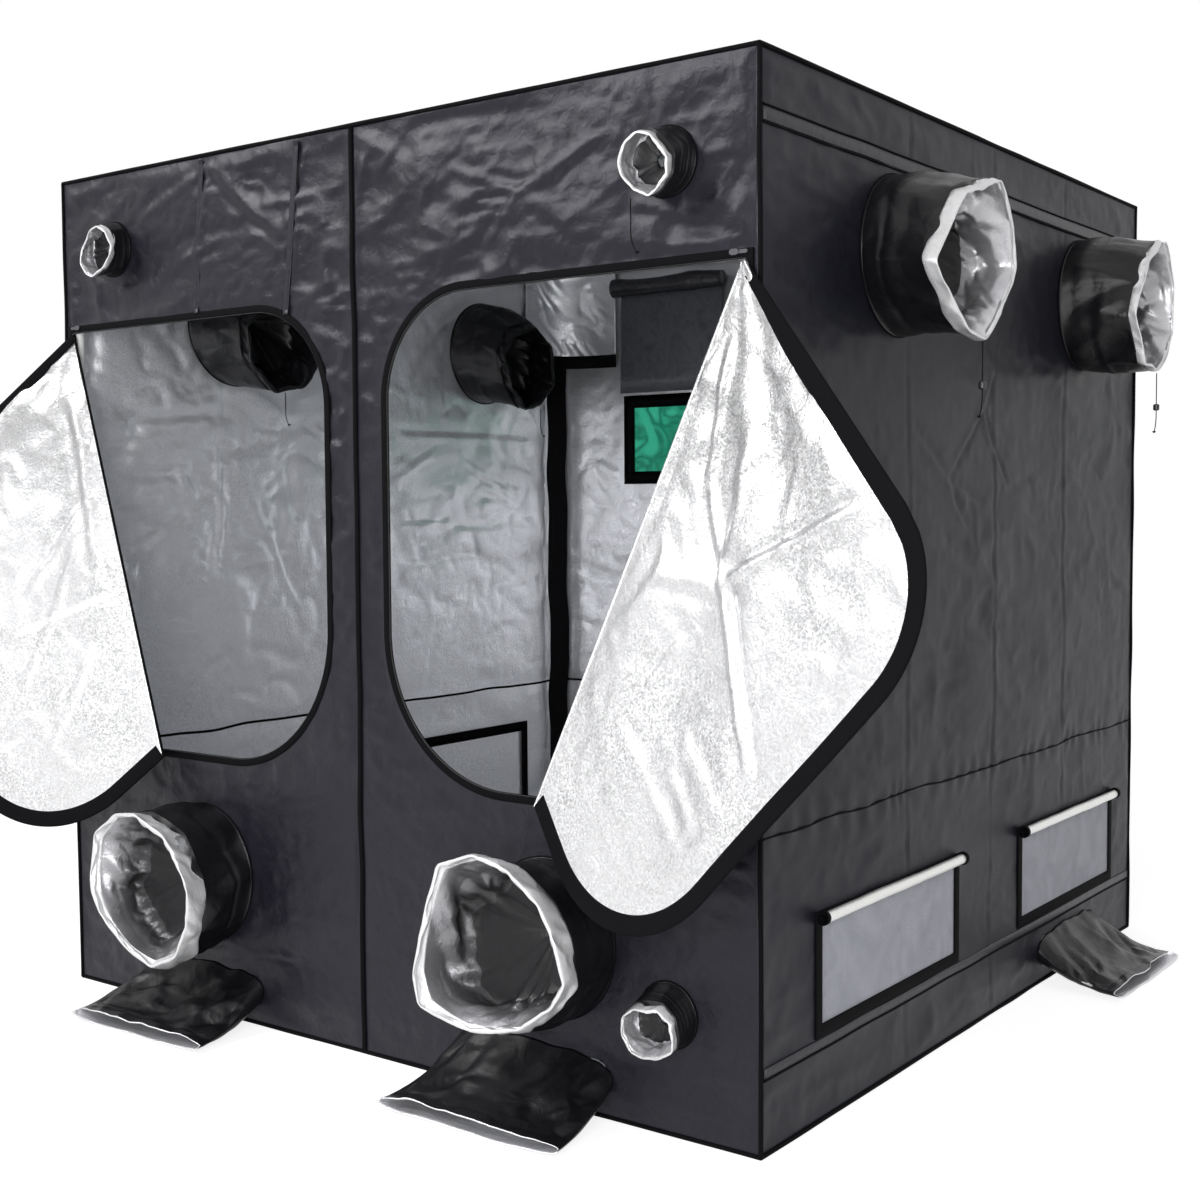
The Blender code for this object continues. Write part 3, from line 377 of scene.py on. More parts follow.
# Walls: coated nylon, black outside and silvered inside, cut out for the doors, ducts, vents
# and window, then zipped up tight over the frame. Creases from its folding stay in the cloth.
CLOTH = 0.0012
FRONT_CELL = 0.008
SIDE_CELL = 0.0095
LINING_CELL = 0.010
HIDDEN_CELL = 0.012
FLOOR_CELL = 0.02
EDGE_FADE = 0.035
LATTICE = 64
INWARD_LIMIT = 0.0065
OUTWARD_LIMIT = 0.0085
CALM_REACH = 0.09
CALM_SHARE = 0.25
TINY = 1e-5
WEAVE_PITCH = 0.0011
WEAVE_DEPTH = 0.00008
LEFT_VENT = (-0.775, -0.15, 0.19, 0.44)
DOOR_NEAR = 0.095
DOOR_HINGE = 0.97
DOOR_SILL = 0.615
DOOR_TOP = 1.625
DOOR_TOP_RADIUS = 0.215
DOOR_BOTTOM_RADIUS = 0.31
DOOR_CLEARANCE = 0.003
DUCT_HOLE = 0.152
PORT_HOLE = 0.054
FRONT_DUCT = (0.515, 0.335)
TOP_PORT = (0.805, 1.815)
LOW_PORT = (0.80, 0.232)
SIDE_DUCTS = {"front": (-0.46, 1.69), "rear": (0.59, 1.69)}
SOCK_PLACES = {"front_left": -0.52, "front_right": 0.47, "right": 0.53}
SOCK_HOLE = (0.384, 0.072)
SOCK_MIDDLE = 0.078

half_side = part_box("floor_panel")[1].x
roof_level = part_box("roof_panel")[1].z


def noise(u, v, size, seed, wrap=LATTICE):
    """Smooth random field from -1 to 1: lattice values blended by a smooth step of the place between
    them. Along u the lattice repeats after wrap steps."""
    table = np.random.default_rng(seed).random((LATTICE, LATTICE)) * 2 - 1
    i = np.floor(u / size).astype(int)
    j = np.floor(v / size).astype(int)
    a = u / size - i
    b = v / size - j
    a = a * a * (3 - 2 * a)
    b = b * b * (3 - 2 * b)
    near = i % wrap
    far = (i + 1) % wrap
    low = table[near, j % LATTICE] * (1 - a) + table[far, j % LATTICE] * a
    high = table[near, (j + 1) % LATTICE] * (1 - a) + table[far, (j + 1) % LATTICE] * a
    return low * (1 - b) + high * b


def facets(u, v, size, seed, wrap=LATTICE):
    """Folded-foil field from -1 to 1: values on a slanted lattice joined by flat triangles, which meet
    in sharp creases. Each cell is split along either diagonal by chance, and noise bends the lattice."""
    drawn = np.random.default_rng(seed)
    table = drawn.random((LATTICE, LATTICE)) * 2 - 1
    falling = drawn.random((LATTICE, LATTICE)) < 0.5
    x = (u + 0.5 * v) / size + 0.4 * noise(u, v, 2 * size, seed + 1, wrap // 2)
    y = v / size + 0.4 * noise(u, v, 2 * size, seed + 2, wrap // 2)
    i = np.floor(x).astype(int)
    j = np.floor(y).astype(int)
    a = x - i
    b = y - j
    near = i % wrap
    far = (i + 1) % wrap
    low = table[near, j % LATTICE]
    aside = table[far, j % LATTICE]
    above = table[near, (j + 1) % LATTICE]
    across = table[far, (j + 1) % LATTICE]
    rising = np.where(a > b, low + a * (aside - low) + b * (across - aside),
                      low + b * (above - low) + a * (across - above))
    under = low + a * (aside - low) + b * (above - low)
    over = across + (1 - a) * (above - across) + (1 - b) * (aside - across)
    return np.where(falling[near, j % LATTICE], np.where(a + b < 1, under, over), rising)


def smooth_step(value, low, high):
    """0 below low, 1 above high, and 3 t squared less 2 t cubed between."""
    t = np.clip((value - low) / (high - low), 0.0, 1.0)
    return t * t * (3 - 2 * t)


def ridge(distance, width):
    """Raised fold: a bell curve of the distance to its line."""
    return np.exp(-(distance / width) ** 2)


def hole_distance(u, v, hole):
    """Distance to a rectangle with a radius at each corner, negative inside it. The radii go
    round from the top left; the distance is the one to the corner's circle or to the straight side."""
    low_u, high_u, low_v, high_v, radii = hole
    x = u - (low_u + high_u) / 2
    y = v - (low_v + high_v) / 2
    upper = np.where(x > 0, radii[1], radii[0])
    lower = np.where(x > 0, radii[2], radii[3])
    radius = np.where(y > 0, upper, lower)
    a = np.abs(x) - (high_u - low_u) / 2 + radius
    b = np.abs(y) - (high_v - low_v) / 2 + radius
    return np.minimum(np.maximum(a, b), 0.0) + np.hypot(np.maximum(a, 0.0), np.maximum(b, 0.0)) - radius


def round_hole(middle, radius):
    """Round hole as a rectangle whose corners are all arc."""
    return (middle[0] - radius, middle[0] + radius, middle[1] - radius, middle[1] + radius, (radius,) * 4)


def slot_hole(middle):
    """Slot behind a floor sock, with round ends."""
    wide, high = SOCK_HOLE
    return (middle - wide / 2, middle + wide / 2, SOCK_MIDDLE - high / 2, SOCK_MIDDLE + high / 2,
            (high / 2,) * 4)


def square_hole(low, high, level_low, level_high):
    """Rectangular hole with square corners."""
    return (low, high, level_low, level_high, (0.0,) * 4)


def door_hole(side):
    """D-shaped door opening in the front: round towards the centre line, square at its hinge."""
    grow = DOOR_CLEARANCE
    near = DOOR_NEAR - grow
    hinge = DOOR_HINGE + grow
    round_top = DOOR_TOP_RADIUS + grow
    round_low = DOOR_BOTTOM_RADIUS + grow
    if side > 0:
        return (near, hinge, DOOR_SILL - grow, DOOR_TOP + grow, (round_top, 0.0, 0.0, round_low))
    return (-hinge, -near, DOOR_SILL - grow, DOOR_TOP + grow, (0.0, round_top, round_low, 0.0))


class Wall:
    """A wall's own directions: its origin, across and up, and outwards from the tent."""

    def __init__(self, origin, across, up=(0.0, 0.0, 1.0)):
        self.origin = np.array(origin, float)
        self.across = np.array(across, float)
        self.up = np.array(up, float)
        self.out = np.cross(self.across, self.up)

    def place(self, u, v, out=0.0):
        """World points from distances across, up and outwards."""
        u, v, out = np.broadcast_arrays(u, v, out)
        return self.origin + u[..., None] * self.across + v[..., None] * self.up + out[..., None] * self.out


front = Wall((0.0, -half_side, 0.0), (1.0, 0.0, 0.0))
right = Wall((half_side, 0.0, 0.0), (0.0, 1.0, 0.0))
back = Wall((0.0, half_side, 0.0), (-1.0, 0.0, 0.0))
left = Wall((-half_side, 0.0, 0.0), (0.0, -1.0, 0.0))
roof = Wall((0.0, 0.0, roof_level), (1.0, 0.0, 0.0), (0.0, 1.0, 0.0))
floor = Wall((0.0, 0.0, 0.0), (1.0, 0.0, 0.0), (0.0, -1.0, 0.0))


def add_lining(piece, thickness=CLOTH):
    """Lining under a sheet: the inner shell of a Solidify modifier, in the sheet's last material."""
    lining = piece.modifiers.new("lining", "SOLIDIFY")
    lining.thickness = thickness
    lining.offset = -1.0
    lining.material_offset = len(piece.data.materials) - 1


def cloth_panel(name, wall, extent, cell, holes, relief, finishes, calm=None):
    """One sheet of cloth in a wall's plane: a grid of points, raised outwards by the relief.

    Cells inside a hole are left out, and points just inside it move out to its edge. The relief
    fades at holes and edges and in the calm hole, where something lies against the cloth. As a
    hyperbolic tangent it stays within its limits, so the tubes behind don't come through.
    """
    low_u, high_u, low_v, high_v = extent
    columns = round((high_u - low_u) / cell) + 1
    rows = round((high_v - low_v) / cell) + 1
    u, v = np.meshgrid(np.linspace(low_u, high_u, columns), np.linspace(low_v, high_v, rows), indexing="ij")
    u = u.ravel()
    v = v.ravel()
    cells = grid_quads(columns, rows)
    clear = np.minimum.reduce([u - low_u, high_u - u, v - low_v, high_v - v])
    for hole in holes:
        distance = hole_distance(u, v, hole)
        cells = cells[np.any(distance[cells] > 0.0, axis=1)]
        inside = distance < 0.0
        slope_u = (hole_distance(u + TINY, v, hole) - hole_distance(u - TINY, v, hole)) / (2 * TINY)
        slope_v = (hole_distance(u, v + TINY, hole) - hole_distance(u, v - TINY, hole)) / (2 * TINY)
        near = inside & (distance > -2 * cell)
        u = np.where(near, u - distance * slope_u, u)
        v = np.where(near, v - distance * slope_v, v)
        clear = np.minimum(clear, np.abs(hole_distance(u, v, hole)))
    used, cells = np.unique(cells, return_inverse=True)
    cells = cells.reshape(-1, 4)
    u = u[used]
    v = v[used]
    height = relief(u, v) * smooth_step(clear[used], 0.0, EDGE_FADE)
    if calm:
        height = height * smooth_step(hole_distance(u, v, calm), CALM_SHARE * CALM_REACH, CALM_REACH)
    limit = np.where(height < 0.0, INWARD_LIMIT, OUTWARD_LIMIT)
    height = limit * np.tanh(height / limit)
    span = np.stack([u, v], axis=1)
    piece = new_piece(name, wall.place(u, v, height), cells, finishes, maps=span[cells], solid=False)
    add_lining(piece)
    settle(piece, instead=name)


def bent_noise(tree, size, seed, detail=3.0):
    """Slow noise over a piece, bent by more noise, from 0 to 1: the heave of its cloth."""
    shift = add_node(tree, "Mapping", {"Vector": own_place(tree),
                                       "Location": (seed, 0.3 * seed, 0.7 * seed)})
    inputs = {"Vector": shift.outputs[0], "Scale": 1.0 / size, "Detail": detail, "Distortion": 1.2}
    return add_node(tree, "TexNoise", inputs).outputs[0]


def creased(tree, heave):
    """Ridges of cloth where its heave is half way: one less the distance from the half."""
    return maths(tree, "SUBTRACT", 1.0, maths(tree, "ABSOLUTE", maths(tree, "SUBTRACT", heave, 0.5)))


def threads(tree, spot, axes, pitch):
    """Rows of thread: the sine of one full turn for each pitch along each of some axes."""
    turns = 2 * math.pi / pitch
    return [maths(tree, "SINE", maths(tree, "MULTIPLY", spot[axis], turns)) for axis in axes]


def weave(tree, pitch):
    """Height of plain weave: the product of two rows of thread in the piece's own map."""
    return maths(tree, "MULTIPLY", *threads(tree, own_map(tree), "XY", pitch))


def cloth_finish(name, colour, shine, creases, depth=0.10, **sockets):
    """Coated nylon: a heaving surface with a fine weave; its creases are painted paler, as a painted
    highlight along them. The heave is as deep as a share of its size."""
    made, tree, shader = new_finish(name, colour, shine, **sockets)
    heave = bent_noise(tree, creases, 4.0)
    # Painted highlight: the colour is paler along the creases of the heave.
    shade_by(tree, shader, creased(tree, heave), 0.72, 1.0,
             [tuple(part * c for c in colour) for part in (0.75, 1.4)])
    raise_by(tree, shader, [(heave, depth * creases, 0.8), (weave(tree, WEAVE_PITCH), WEAVE_DEPTH, 0.5)])
    return made


def silver_finish(name, colour, shine, creases, glitter, metal=0.92, spread=0.2, depth=0.05, fade=None):
    """Silvered cloth: rough metal with creases and a glitter of tiny facets, whose glints are painted:
    each facet's colour runs at random from one less half its spread to one more, and the spread is three
    times as wide in patches. A fade is painted shade: it names an axis, two places along it and the share
    that the colour falls to between them."""
    made, tree, shader = new_finish(name, colour, shine, Metallic=metal)
    fold = creased(tree, bent_noise(tree, creases, 2.0))
    small = creased(tree, bent_noise(tree, creases / 4, 7.0, 2.0))
    # Painted glints: each tiny facet gets its own random grey, besides its bump.
    grain = cell_greys(tree, 1.0 / glitter)
    patch = speckle(tree, 3.2, 2.0)
    wide = add_node(tree, "MapRange", {"Value": patch, "From Min": 0.46, "From Max": 0.62, "To Min": spread,
                                       "To Max": 3.0 * spread}).outputs["Result"]
    share = maths(tree, "MULTIPLY_ADD", maths(tree, "SUBTRACT", grain, 0.5), wide, 1.0)
    # Painted shade: along the fade's axis the colour falls from its full share to the least.
    if fade:
        axis, bright, dark, least = fade
        along = parts_of(tree, own_place(tree))[axis]
        span = add_node(tree, "MapRange", {"Value": along, "From Min": bright, "From Max": dark,
                                           "To Min": 1.0, "To Max": least})
        share = maths(tree, "MULTIPLY", share, span.outputs["Result"])
    shade_by(tree, shader, share, 0.0, 1.6, [tuple(part * c for c in colour) for part in (0.0, 1.6)])
    raise_by(tree, shader, [(fold, depth * creases, 0.7), (small, 0.4 * depth * creases, 0.6),
                            (grain, 0.10 * glitter, 0.6)])
    return made


shell_cloth = cloth_finish("black_shell_cloth", (0.0068, 0.0065, 0.0104), 0.30, 0.030, 0.05,
                           Specular_IOR_Level=0.27, Specular_Tint=(0.95, 0.93, 1.0, 1.0))
# The right wall's cloth is a copy of the front's nylon with less sheen and its own tint: painted shade for
# the light on that side.
shaded_side_cloth = cloth_finish("black_side_cloth", (0.0072, 0.0074, 0.0115), 0.38, 0.030, 0.02,
                          Specular_IOR_Level=0.16, Specular_Tint=(0.94, 0.94, 1.0, 1.0))
# The wall lining's fade is painted shade: its colour falls to 0.70 of itself from y 0.88 to 0.98, darkening
# the back wall and the drape.
silver_lining = silver_finish("silver_lining", (0.90, 0.91, 0.94), 0.38, 0.030, 0.0030, metal=0.75,
                              spread=0.1, depth=0.09, fade=("Y", 0.88, 0.98, 0.70))
wall_finishes = [shell_cloth, silver_lining]
side_finishes = [shaded_side_cloth, silver_lining]


def segment_distance(x, y, start, end):
    """Signed distance to the line through two points, and how far along it, from 0 to 1."""
    run = np.array(end) - np.array(start)
    length = np.linalg.norm(run)
    along = ((x - start[0]) * run[0] + (y - start[1]) * run[1]) / length ** 2
    return ((x - start[0]) * run[1] - (y - start[1]) * run[0]) / length, along


def sharp_folds(x, y, folds, seed):
    """Folds along lines, given as start, end, width and rise: a ridge with a lesser hollow beside it.
    Slow noise bends each line, and both of its ends taper."""
    height = np.zeros(np.shape(x))
    for start, end, width, rise in folds:
        wander = 0.35 * width + 0.012 * noise(x, y, 0.09, seed)
        away, run = segment_distance(x + wander, y, start, end)
        taper = smooth_step(run, -0.06, 0.10) * (1.0 - smooth_step(run, 0.70, 1.05))
        height = height + rise * taper * (ridge(away, width) - 0.6 * ridge(away - 1.7 * width, 1.2 * width))
    return height


def crumple(u, v, size, seed):
    """Crushed cloth from about -1 to 1: noise, bent sideways by slower noise, and creased into a ridge
    where it is nought: one less three times its size."""
    x = u + 0.6 * size * noise(u, v, 1.9 * size, seed + 1)
    y = v + 0.6 * size * noise(u, v, 1.9 * size, seed + 2)
    return 1.0 - 3.0 * np.abs(noise(x, y, size, seed))


def crease_net(u, v, size, seed):
    """Long thin creases from 0 to 1: ridges along the lines where the folded-foil field is nought."""
    return ridge(facets(u, v, size, seed), 0.045) * (0.5 + 0.5 * noise(u, v, 0.8 * size, seed + 3))


def shell_relief(seed, slack, dents, creases, stretch=(1.0, 1.0), folds=(), seams=()):
    """Relief of hung cloth: slow noise for its slack, two sizes of crumple for its dents, which come and
    go with another noise, two crease nets and sharp folds. Level seams pull it flat."""
    def relief(u, v):
        """Height outwards at places across and up: the sum of the fields above."""
        x = u * stretch[0]
        y = v * stretch[1]
        patch = 0.70 + 0.55 * noise(u, v, 0.33, seed + 13)
        height = slack * noise(u, v, 0.42, seed) + 0.6 * slack * noise(x, y, 0.17, seed + 1)
        height += dents * patch * (crumple(x, y, 0.105, seed + 20) + 0.55 * crumple(x, y, 0.048, seed + 24))
        height += 0.22 * dents * crumple(x, y, 0.026, seed + 28)
        height += creases * (crease_net(x, y, 0.21, seed + 8) - 0.8 * crease_net(x, y, 0.13, seed + 10))
        for level_ in seams:
            height = height * (1.0 - 0.95 * ridge(v - level_, 0.024))
        return height + sharp_folds(u, v, folds, seed + 15)
    return relief


INNER_FOLDS = [
    ((0.847, 1.037), (0.548, 1.231), 0.008, -0.0060), ((0.525, 1.592), (0.538, 0.885), 0.009, -0.0050),
    ((0.456, 1.327), (0.231, 0.866), 0.010, -0.0050), ((0.782, 1.410), (0.553, 1.434), 0.009, -0.0060),
    ((-0.149, 1.269), (-0.361, 1.370), 0.009, -0.0060), ((-0.237, 1.136), (-0.481, 1.142), 0.008, -0.0040),
    ((-0.378, 1.562), (-0.456, 1.308), 0.009, -0.0050), ((-0.485, 1.346), (-0.776, 1.196), 0.008, -0.0050),
    ((-0.489, 1.309), (-0.844, 1.138), 0.008, -0.0040), ((-0.170, 1.410), (-0.879, 1.413), 0.010, -0.0060)]
FRONT_LEFT_FOLDS = [
    ((-0.443, 1.97), (-0.727, 1.86), 0.011, 0.0045), ((-0.443, 1.97), (-0.23, 1.79), 0.012, 0.0050),
    ((-0.443, 1.97), (-0.506, 1.72), 0.009, 0.0050), ((-0.139, 1.98), (-0.205, 1.62), 0.008, 0.0035),
    ((-0.598, 1.748), (-0.40, 1.80), 0.010, 0.0040), ((-0.32, 1.80), (-0.20, 1.74), 0.012, 0.0035),
    ((-0.02, 1.50), (-0.09, 1.46), 0.012, 0.004), ((-0.03, 1.30), (-0.085, 1.33), 0.012, 0.004)]
FRONT_RIGHT_FOLDS = [
    ((0.468, 1.804), (0.27, 1.87), 0.010, 0.0045), ((0.468, 1.804), (0.36, 1.70), 0.010, 0.0045),
    ((0.468, 1.804), (0.69, 1.89), 0.011, 0.0045), ((0.468, 1.804), (0.62, 1.70), 0.012, 0.0035),
    ((0.193, 1.77), (0.28, 1.73), 0.012, 0.0040), ((0.03, 1.60), (0.09, 1.56), 0.012, 0.004),
    ((0.03, 1.42), (0.085, 1.38), 0.012, 0.004), ((0.73, 1.75), (0.92, 1.70), 0.012, 0.004)]
KNEE_LEVEL = 0.587
BAND_SEAM = 0.155
UPPER_SEAM = 1.878
PRESS_LINES = (-0.41, 0.03, 0.47)
SIDE_FOLDS = [
    ((-0.013, 1.40), (-0.214, 1.245), 0.007, -0.0040), ((-0.013, 1.40), (0.123, 1.22), 0.007, -0.0040),
    ((-0.214, 1.245), (-0.01, 1.186), 0.008, -0.0030), ((0.123, 1.22), (0.352, 1.27), 0.008, -0.0030),
    ((-0.214, 1.245), (-0.09, 1.131), 0.007, -0.0030), ((0.07, 1.54), (-0.013, 1.40), 0.008, -0.0035),
    ((-0.374, 1.353), (-0.214, 1.245), 0.008, -0.0025), ((0.82, 1.0), (0.98, 0.95), 0.012, 0.0045)]


def right_relief(u, v):
    """Right wall: gentle shell relief, three upright press lines and a few creases between them,
    short pulls under the roof and a puckered seam at knee height."""
    seams = (KNEE_LEVEL, BAND_SEAM, UPPER_SEAM)
    base = shell_relief(31, 0.006, 0.0022, 0.0018, (0.6, 1.15), SIDE_FOLDS, seams)(u, v)
    wander = 0.012 * noise(v, u, 0.2, 77)
    pressed = sum(ridge(u - at - wander, 0.006) - 0.5 * ridge(u - at - wander - 0.014, 0.012)
                  for at in PRESS_LINES)
    pulls = np.sin(u * 60.0 + 3.0 * noise(u, v, 0.2, 79)) * smooth_step(v, 1.55, 1.86) * (v < 1.87)
    pucker = ridge(v - KNEE_LEVEL - 0.008 * noise(u, v, 0.16, 78), 0.030)
    pucker = pucker * np.sin(90.0 * u + 4.0 * noise(u, v, 0.1, 80))
    return base - 0.0018 * pressed + 0.0006 * pulls + 0.0016 * pucker


def front_relief(sign):
    """Front wall: shell relief drawn out sideways, and level gathers along the seam between its halves."""
    folds = FRONT_RIGHT_FOLDS if sign > 0 else FRONT_LEFT_FOLDS
    base = shell_relief(11 + sign, 0.007, 0.0042, 0.0026, (0.80, 1.25), folds)

    def relief(u, v):
        """Height outwards: the shell relief and a sine of the height, in a bell curve of the seam's
        distance."""
        wave = np.sin(2 * np.pi * (v + 0.35 * np.abs(u)) / 0.070 + 5.0 * noise(u, v, 0.13, 83))
        low = smooth_step(v, 0.25, 1.1)
        gather = low * wave * ridge(u, 0.085) * (0.7 + 0.5 * noise(u, v, 0.3, 84))
        return base(u, v) * (0.55 + 0.45 * low) + 0.0028 * gather
    return relief


def left_relief(u, v):
    """Left wall: shell relief with sharp folds, deeper high up and towards the front."""
    base = shell_relief(51, 0.006, 0.0036, 0.0050, (0.75, 1.2), INNER_FOLDS, (KNEE_LEVEL,))
    return base(u, v) * (0.45 + 0.55 * smooth_step(v, 0.7, 1.2) + 0.9 * smooth_step(u, 0.0, 0.4))


sheet_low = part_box("front_wall_right")[0].z
sheet_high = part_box("front_wall_right")[1].z
for side, sign in (("left", -1), ("right", 1)):
    ends = sorted((0.0, sign * half_side))
    holes = [door_hole(sign), round_hole((sign * FRONT_DUCT[0], FRONT_DUCT[1]), DUCT_HOLE),
             round_hole((sign * TOP_PORT[0], TOP_PORT[1]), PORT_HOLE),
             slot_hole(SOCK_PLACES[f"front_{side}"])]
    if sign > 0:
        holes.append(round_hole(LOW_PORT, PORT_HOLE))
    cloth_panel(f"front_wall_{side}", front, (*ends, sheet_low, sheet_high), FRONT_CELL, holes,
                front_relief(sign), wall_finishes)
side_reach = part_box("right_wall")[1].y
vents = {end: (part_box(f"vent_mesh_{end}")[0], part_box(f"vent_mesh_{end}")[1]) for end in ("front", "rear")}
holes = [round_hole(middle, DUCT_HOLE) for middle in SIDE_DUCTS.values()]
holes += [square_hole(low.y, high.y, low.z, high.z) for low, high in vents.values()]
cloth_panel("right_wall", right, (-side_reach, side_reach, sheet_low, sheet_high), SIDE_CELL,
            holes + [slot_hole(SOCK_PLACES["right"])], right_relief, side_finishes)
holes = [round_hole((-across, level_), DUCT_HOLE) for across, level_ in SIDE_DUCTS.values()]
cloth_panel("left_wall", left, (-side_reach, side_reach, sheet_low, sheet_high), LINING_CELL, holes,
            left_relief, wall_finishes, square_hole(*LEFT_VENT))
window_low, window_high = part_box("window_film")
window_hole = square_hole(-window_high.x, -window_low.x, window_low.z, window_high.z)
hung_hole = (*window_hole[:3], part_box("window_cover")[1].z, window_hole[4])
cloth_panel("back_wall", back, (-half_side, half_side, sheet_low, sheet_high), LINING_CELL,
            [window_hole], shell_relief(61, 0.006, 0.0030, 0.0036, (0.8, 1.3), (), (KNEE_LEVEL,)),
            wall_finishes, hung_hole)
cloth_panel("roof_panel", roof, (-half_side, half_side, -half_side, half_side), HIDDEN_CELL, [],
            shell_relief(71, 0.003, 0.0010, 0.0010), wall_finishes)
cloth_panel("floor_panel", floor, (-half_side, half_side, -half_side, half_side), FLOOR_CELL, [],
            lambda u, v: -np.abs(shell_relief(81, 0.001, 0.0005, 0.0)(u, v)), wall_finishes)

# Piping, seams and webbing: black bound edges along the cube, the seam between the two front
# halves, flat bands across the right wall, and a bound zip round each door.
PIPING = 0.0045
SEAM_BEAD = 0.006
SEAM_LIFT = 0.0015
WEBBING_PITCH = 0.0022
ZIP_TAPE = (-0.001, 0.015)
ZIP_COIL = 0.0024
TAPE_LIFT = 0.0028
PATH_STEP = 0.012
SIDE_BANDS = {"upper_seam": (1.862, 0.0040), "upper_tape": (1.878, 0.026), "upper_edge": (1.893, 0.0040),
              "low_seam": (0.143, 0.0040), "low_tape": (0.155, 0.020)}
FRONT_TAPES = {"front_tape_far": ((-0.478, 1.985), (-0.506, 1.640)),
               "front_tape_near": ((-0.165, 1.985), (-0.206, 1.615))}
FRONT_TAPE_LIFT = 0.0030
FRONT_TAPE_HALF = 0.008
FRONT_TAPE_THICK = 0.0018
TAPE_WIDE = 0.010
BAND_LIFT = 0.0004
BAND_TAPE_THICK = 0.0016
BAND_BEAD_THICK = 0.0034
BAND_END = 0.006
KNEE_FACES = {"outer": (0.0002, 0.0022), "inner": (-0.0016, -0.0014)}
KNEE_HALF = 0.0020
ZIP_PITCH = 0.0026

webbing = braid_finish("black_webbing", (0.0038, 0.0038, 0.0045), WEBBING_PITCH)


def strip_profile(low, high, thickness):
    """Flat strip with rounded edges: six corners, from low to high across it."""
    edge = min(thickness, 0.2 * (high - low))
    return [(low, 0.0), (low, 0.55 * thickness), (low + edge, thickness), (high - edge, thickness),
            (high, 0.55 * thickness), (high, 0.0)]


def rounded_path(hole):
    """Points round a hole's edge, anticlockwise, and their outward normals.

    Each corner is an arc: its middle plus its radius times cosine and sine. Straight runs between
    the arcs are cut into equal steps.
    """
    low_u, high_u, low_v, high_v, radii = hole
    top_left, top_right, low_right, low_left = radii
    turns = ((high_u, low_v, low_right, -1.0, 1.0, -0.5), (high_u, high_v, top_right, -1.0, -1.0, 0.0),
             (low_u, high_v, top_left, 1.0, -1.0, 0.5), (low_u, low_v, low_left, 1.0, 1.0, 1.0))
    points = []
    normals = []
    for u, v, radius, side_u, side_v, start in turns:
        steps = max(3, math.ceil(radius * math.pi / 2 / PATH_STEP))
        angles = np.pi * (start + 0.5 * np.arange(steps + 1) / steps)
        normal = np.stack([np.cos(angles), np.sin(angles)], axis=1)
        if radius < PATH_STEP / 4:
            normal = np.array([normal[0] + normal[-1]])
        corner = np.array((u + side_u * radius, v + side_v * radius)) + radius * normal
        points.append(corner)
        normals.append(normal)
    rounded = []
    facing = []
    for k, (corner, normal) in enumerate(zip(points, normals)):
        following = points[(k + 1) % 4][0]
        gap = np.linalg.norm(following - corner[-1])
        share = np.linspace(0.0, 1.0, max(2, round(gap / PATH_STEP)) + 1)[1:-1, None]
        straight = ((1.0, 0.0), (0.0, 1.0), (-1.0, 0.0), (0.0, -1.0))[k]
        rounded += [corner, corner[-1] * (1 - share) + following * share]
        facing += [normal, np.repeat([straight], len(share), axis=0)]
    return np.concatenate(rounded), np.concatenate(facing)


def bound_edge(name, wall, hole, profile, finish, lift=0.0):
    """Strip sewn round a hole: its profile runs away from the hole and out of the wall."""
    spots, normals = rounded_path(hole)
    path = wall.place(spots[:, 0], spots[:, 1], lift)
    side = normals[:, :1] * wall.across + normals[:, 1:] * wall.up
    settle(carried(name, path, side, wall.out, profile, finish, closed=True))


def straight_strip(name, start, end, side, out, profile, finish, sway, seed):
    """Strip or bead sewn along a straight edge; slow noise, less at its ends, sways it to its side."""
    start = np.array(start, float)
    end = np.array(end, float)
    length = np.linalg.norm(end - start)
    share = np.linspace(0.0, 1.0, round(length / PATH_STEP) + 1)
    swing = sway * noise(share * length, np.zeros_like(share), 0.13, seed) * np.sin(np.pi * share) ** 0.3
    path = start + share[:, None] * (end - start) + swing[:, None] * np.array(side, float)
    settle(carried(name, path, side, out, profile, finish))


edges = {
    "piping_front_top": ((-1, -1, 1), (1, -1, 1)), "piping_back_top": ((-1, 1, 1), (1, 1, 1)),
    "piping_left_top": ((-1, -1, 1), (-1, 1, 1)), "piping_right_top": ((1, -1, 1), (1, 1, 1)),
    "piping_front_low": ((-1, -1, 0), (1, -1, 0)), "piping_back_low": ((-1, 1, 0), (1, 1, 0)),
    "piping_left_low": ((-1, -1, 0), (-1, 1, 0)), "piping_right_low": ((1, -1, 0), (1, 1, 0)),
    "piping_front_left": ((-1, -1, 0), (-1, -1, 1)), "piping_front_right": ((1, -1, 0), (1, -1, 1)),
    "piping_back_left": ((-1, 1, 0), (-1, 1, 1)), "piping_back_right": ((1, 1, 0), (1, 1, 1)),
}
for seed, (name, ends) in enumerate(edges.items()):
    start, end = (np.array((a * half_side, b * half_side, c * (roof_level - 2 * PIPING) + PIPING))
                  for a, b, c in ends)
    run = (end - start) / np.linalg.norm(end - start)
    side = np.cross(run, (0.0, 0.0, 1.0)) if abs(run[2]) < 0.5 else np.array((1.0, 0.0, 0.0))
    straight_strip(name, start, end, side, np.cross(side, run), ring(PIPING, ROUND_SIDES), webbing,
                   0.002, 90 + seed)

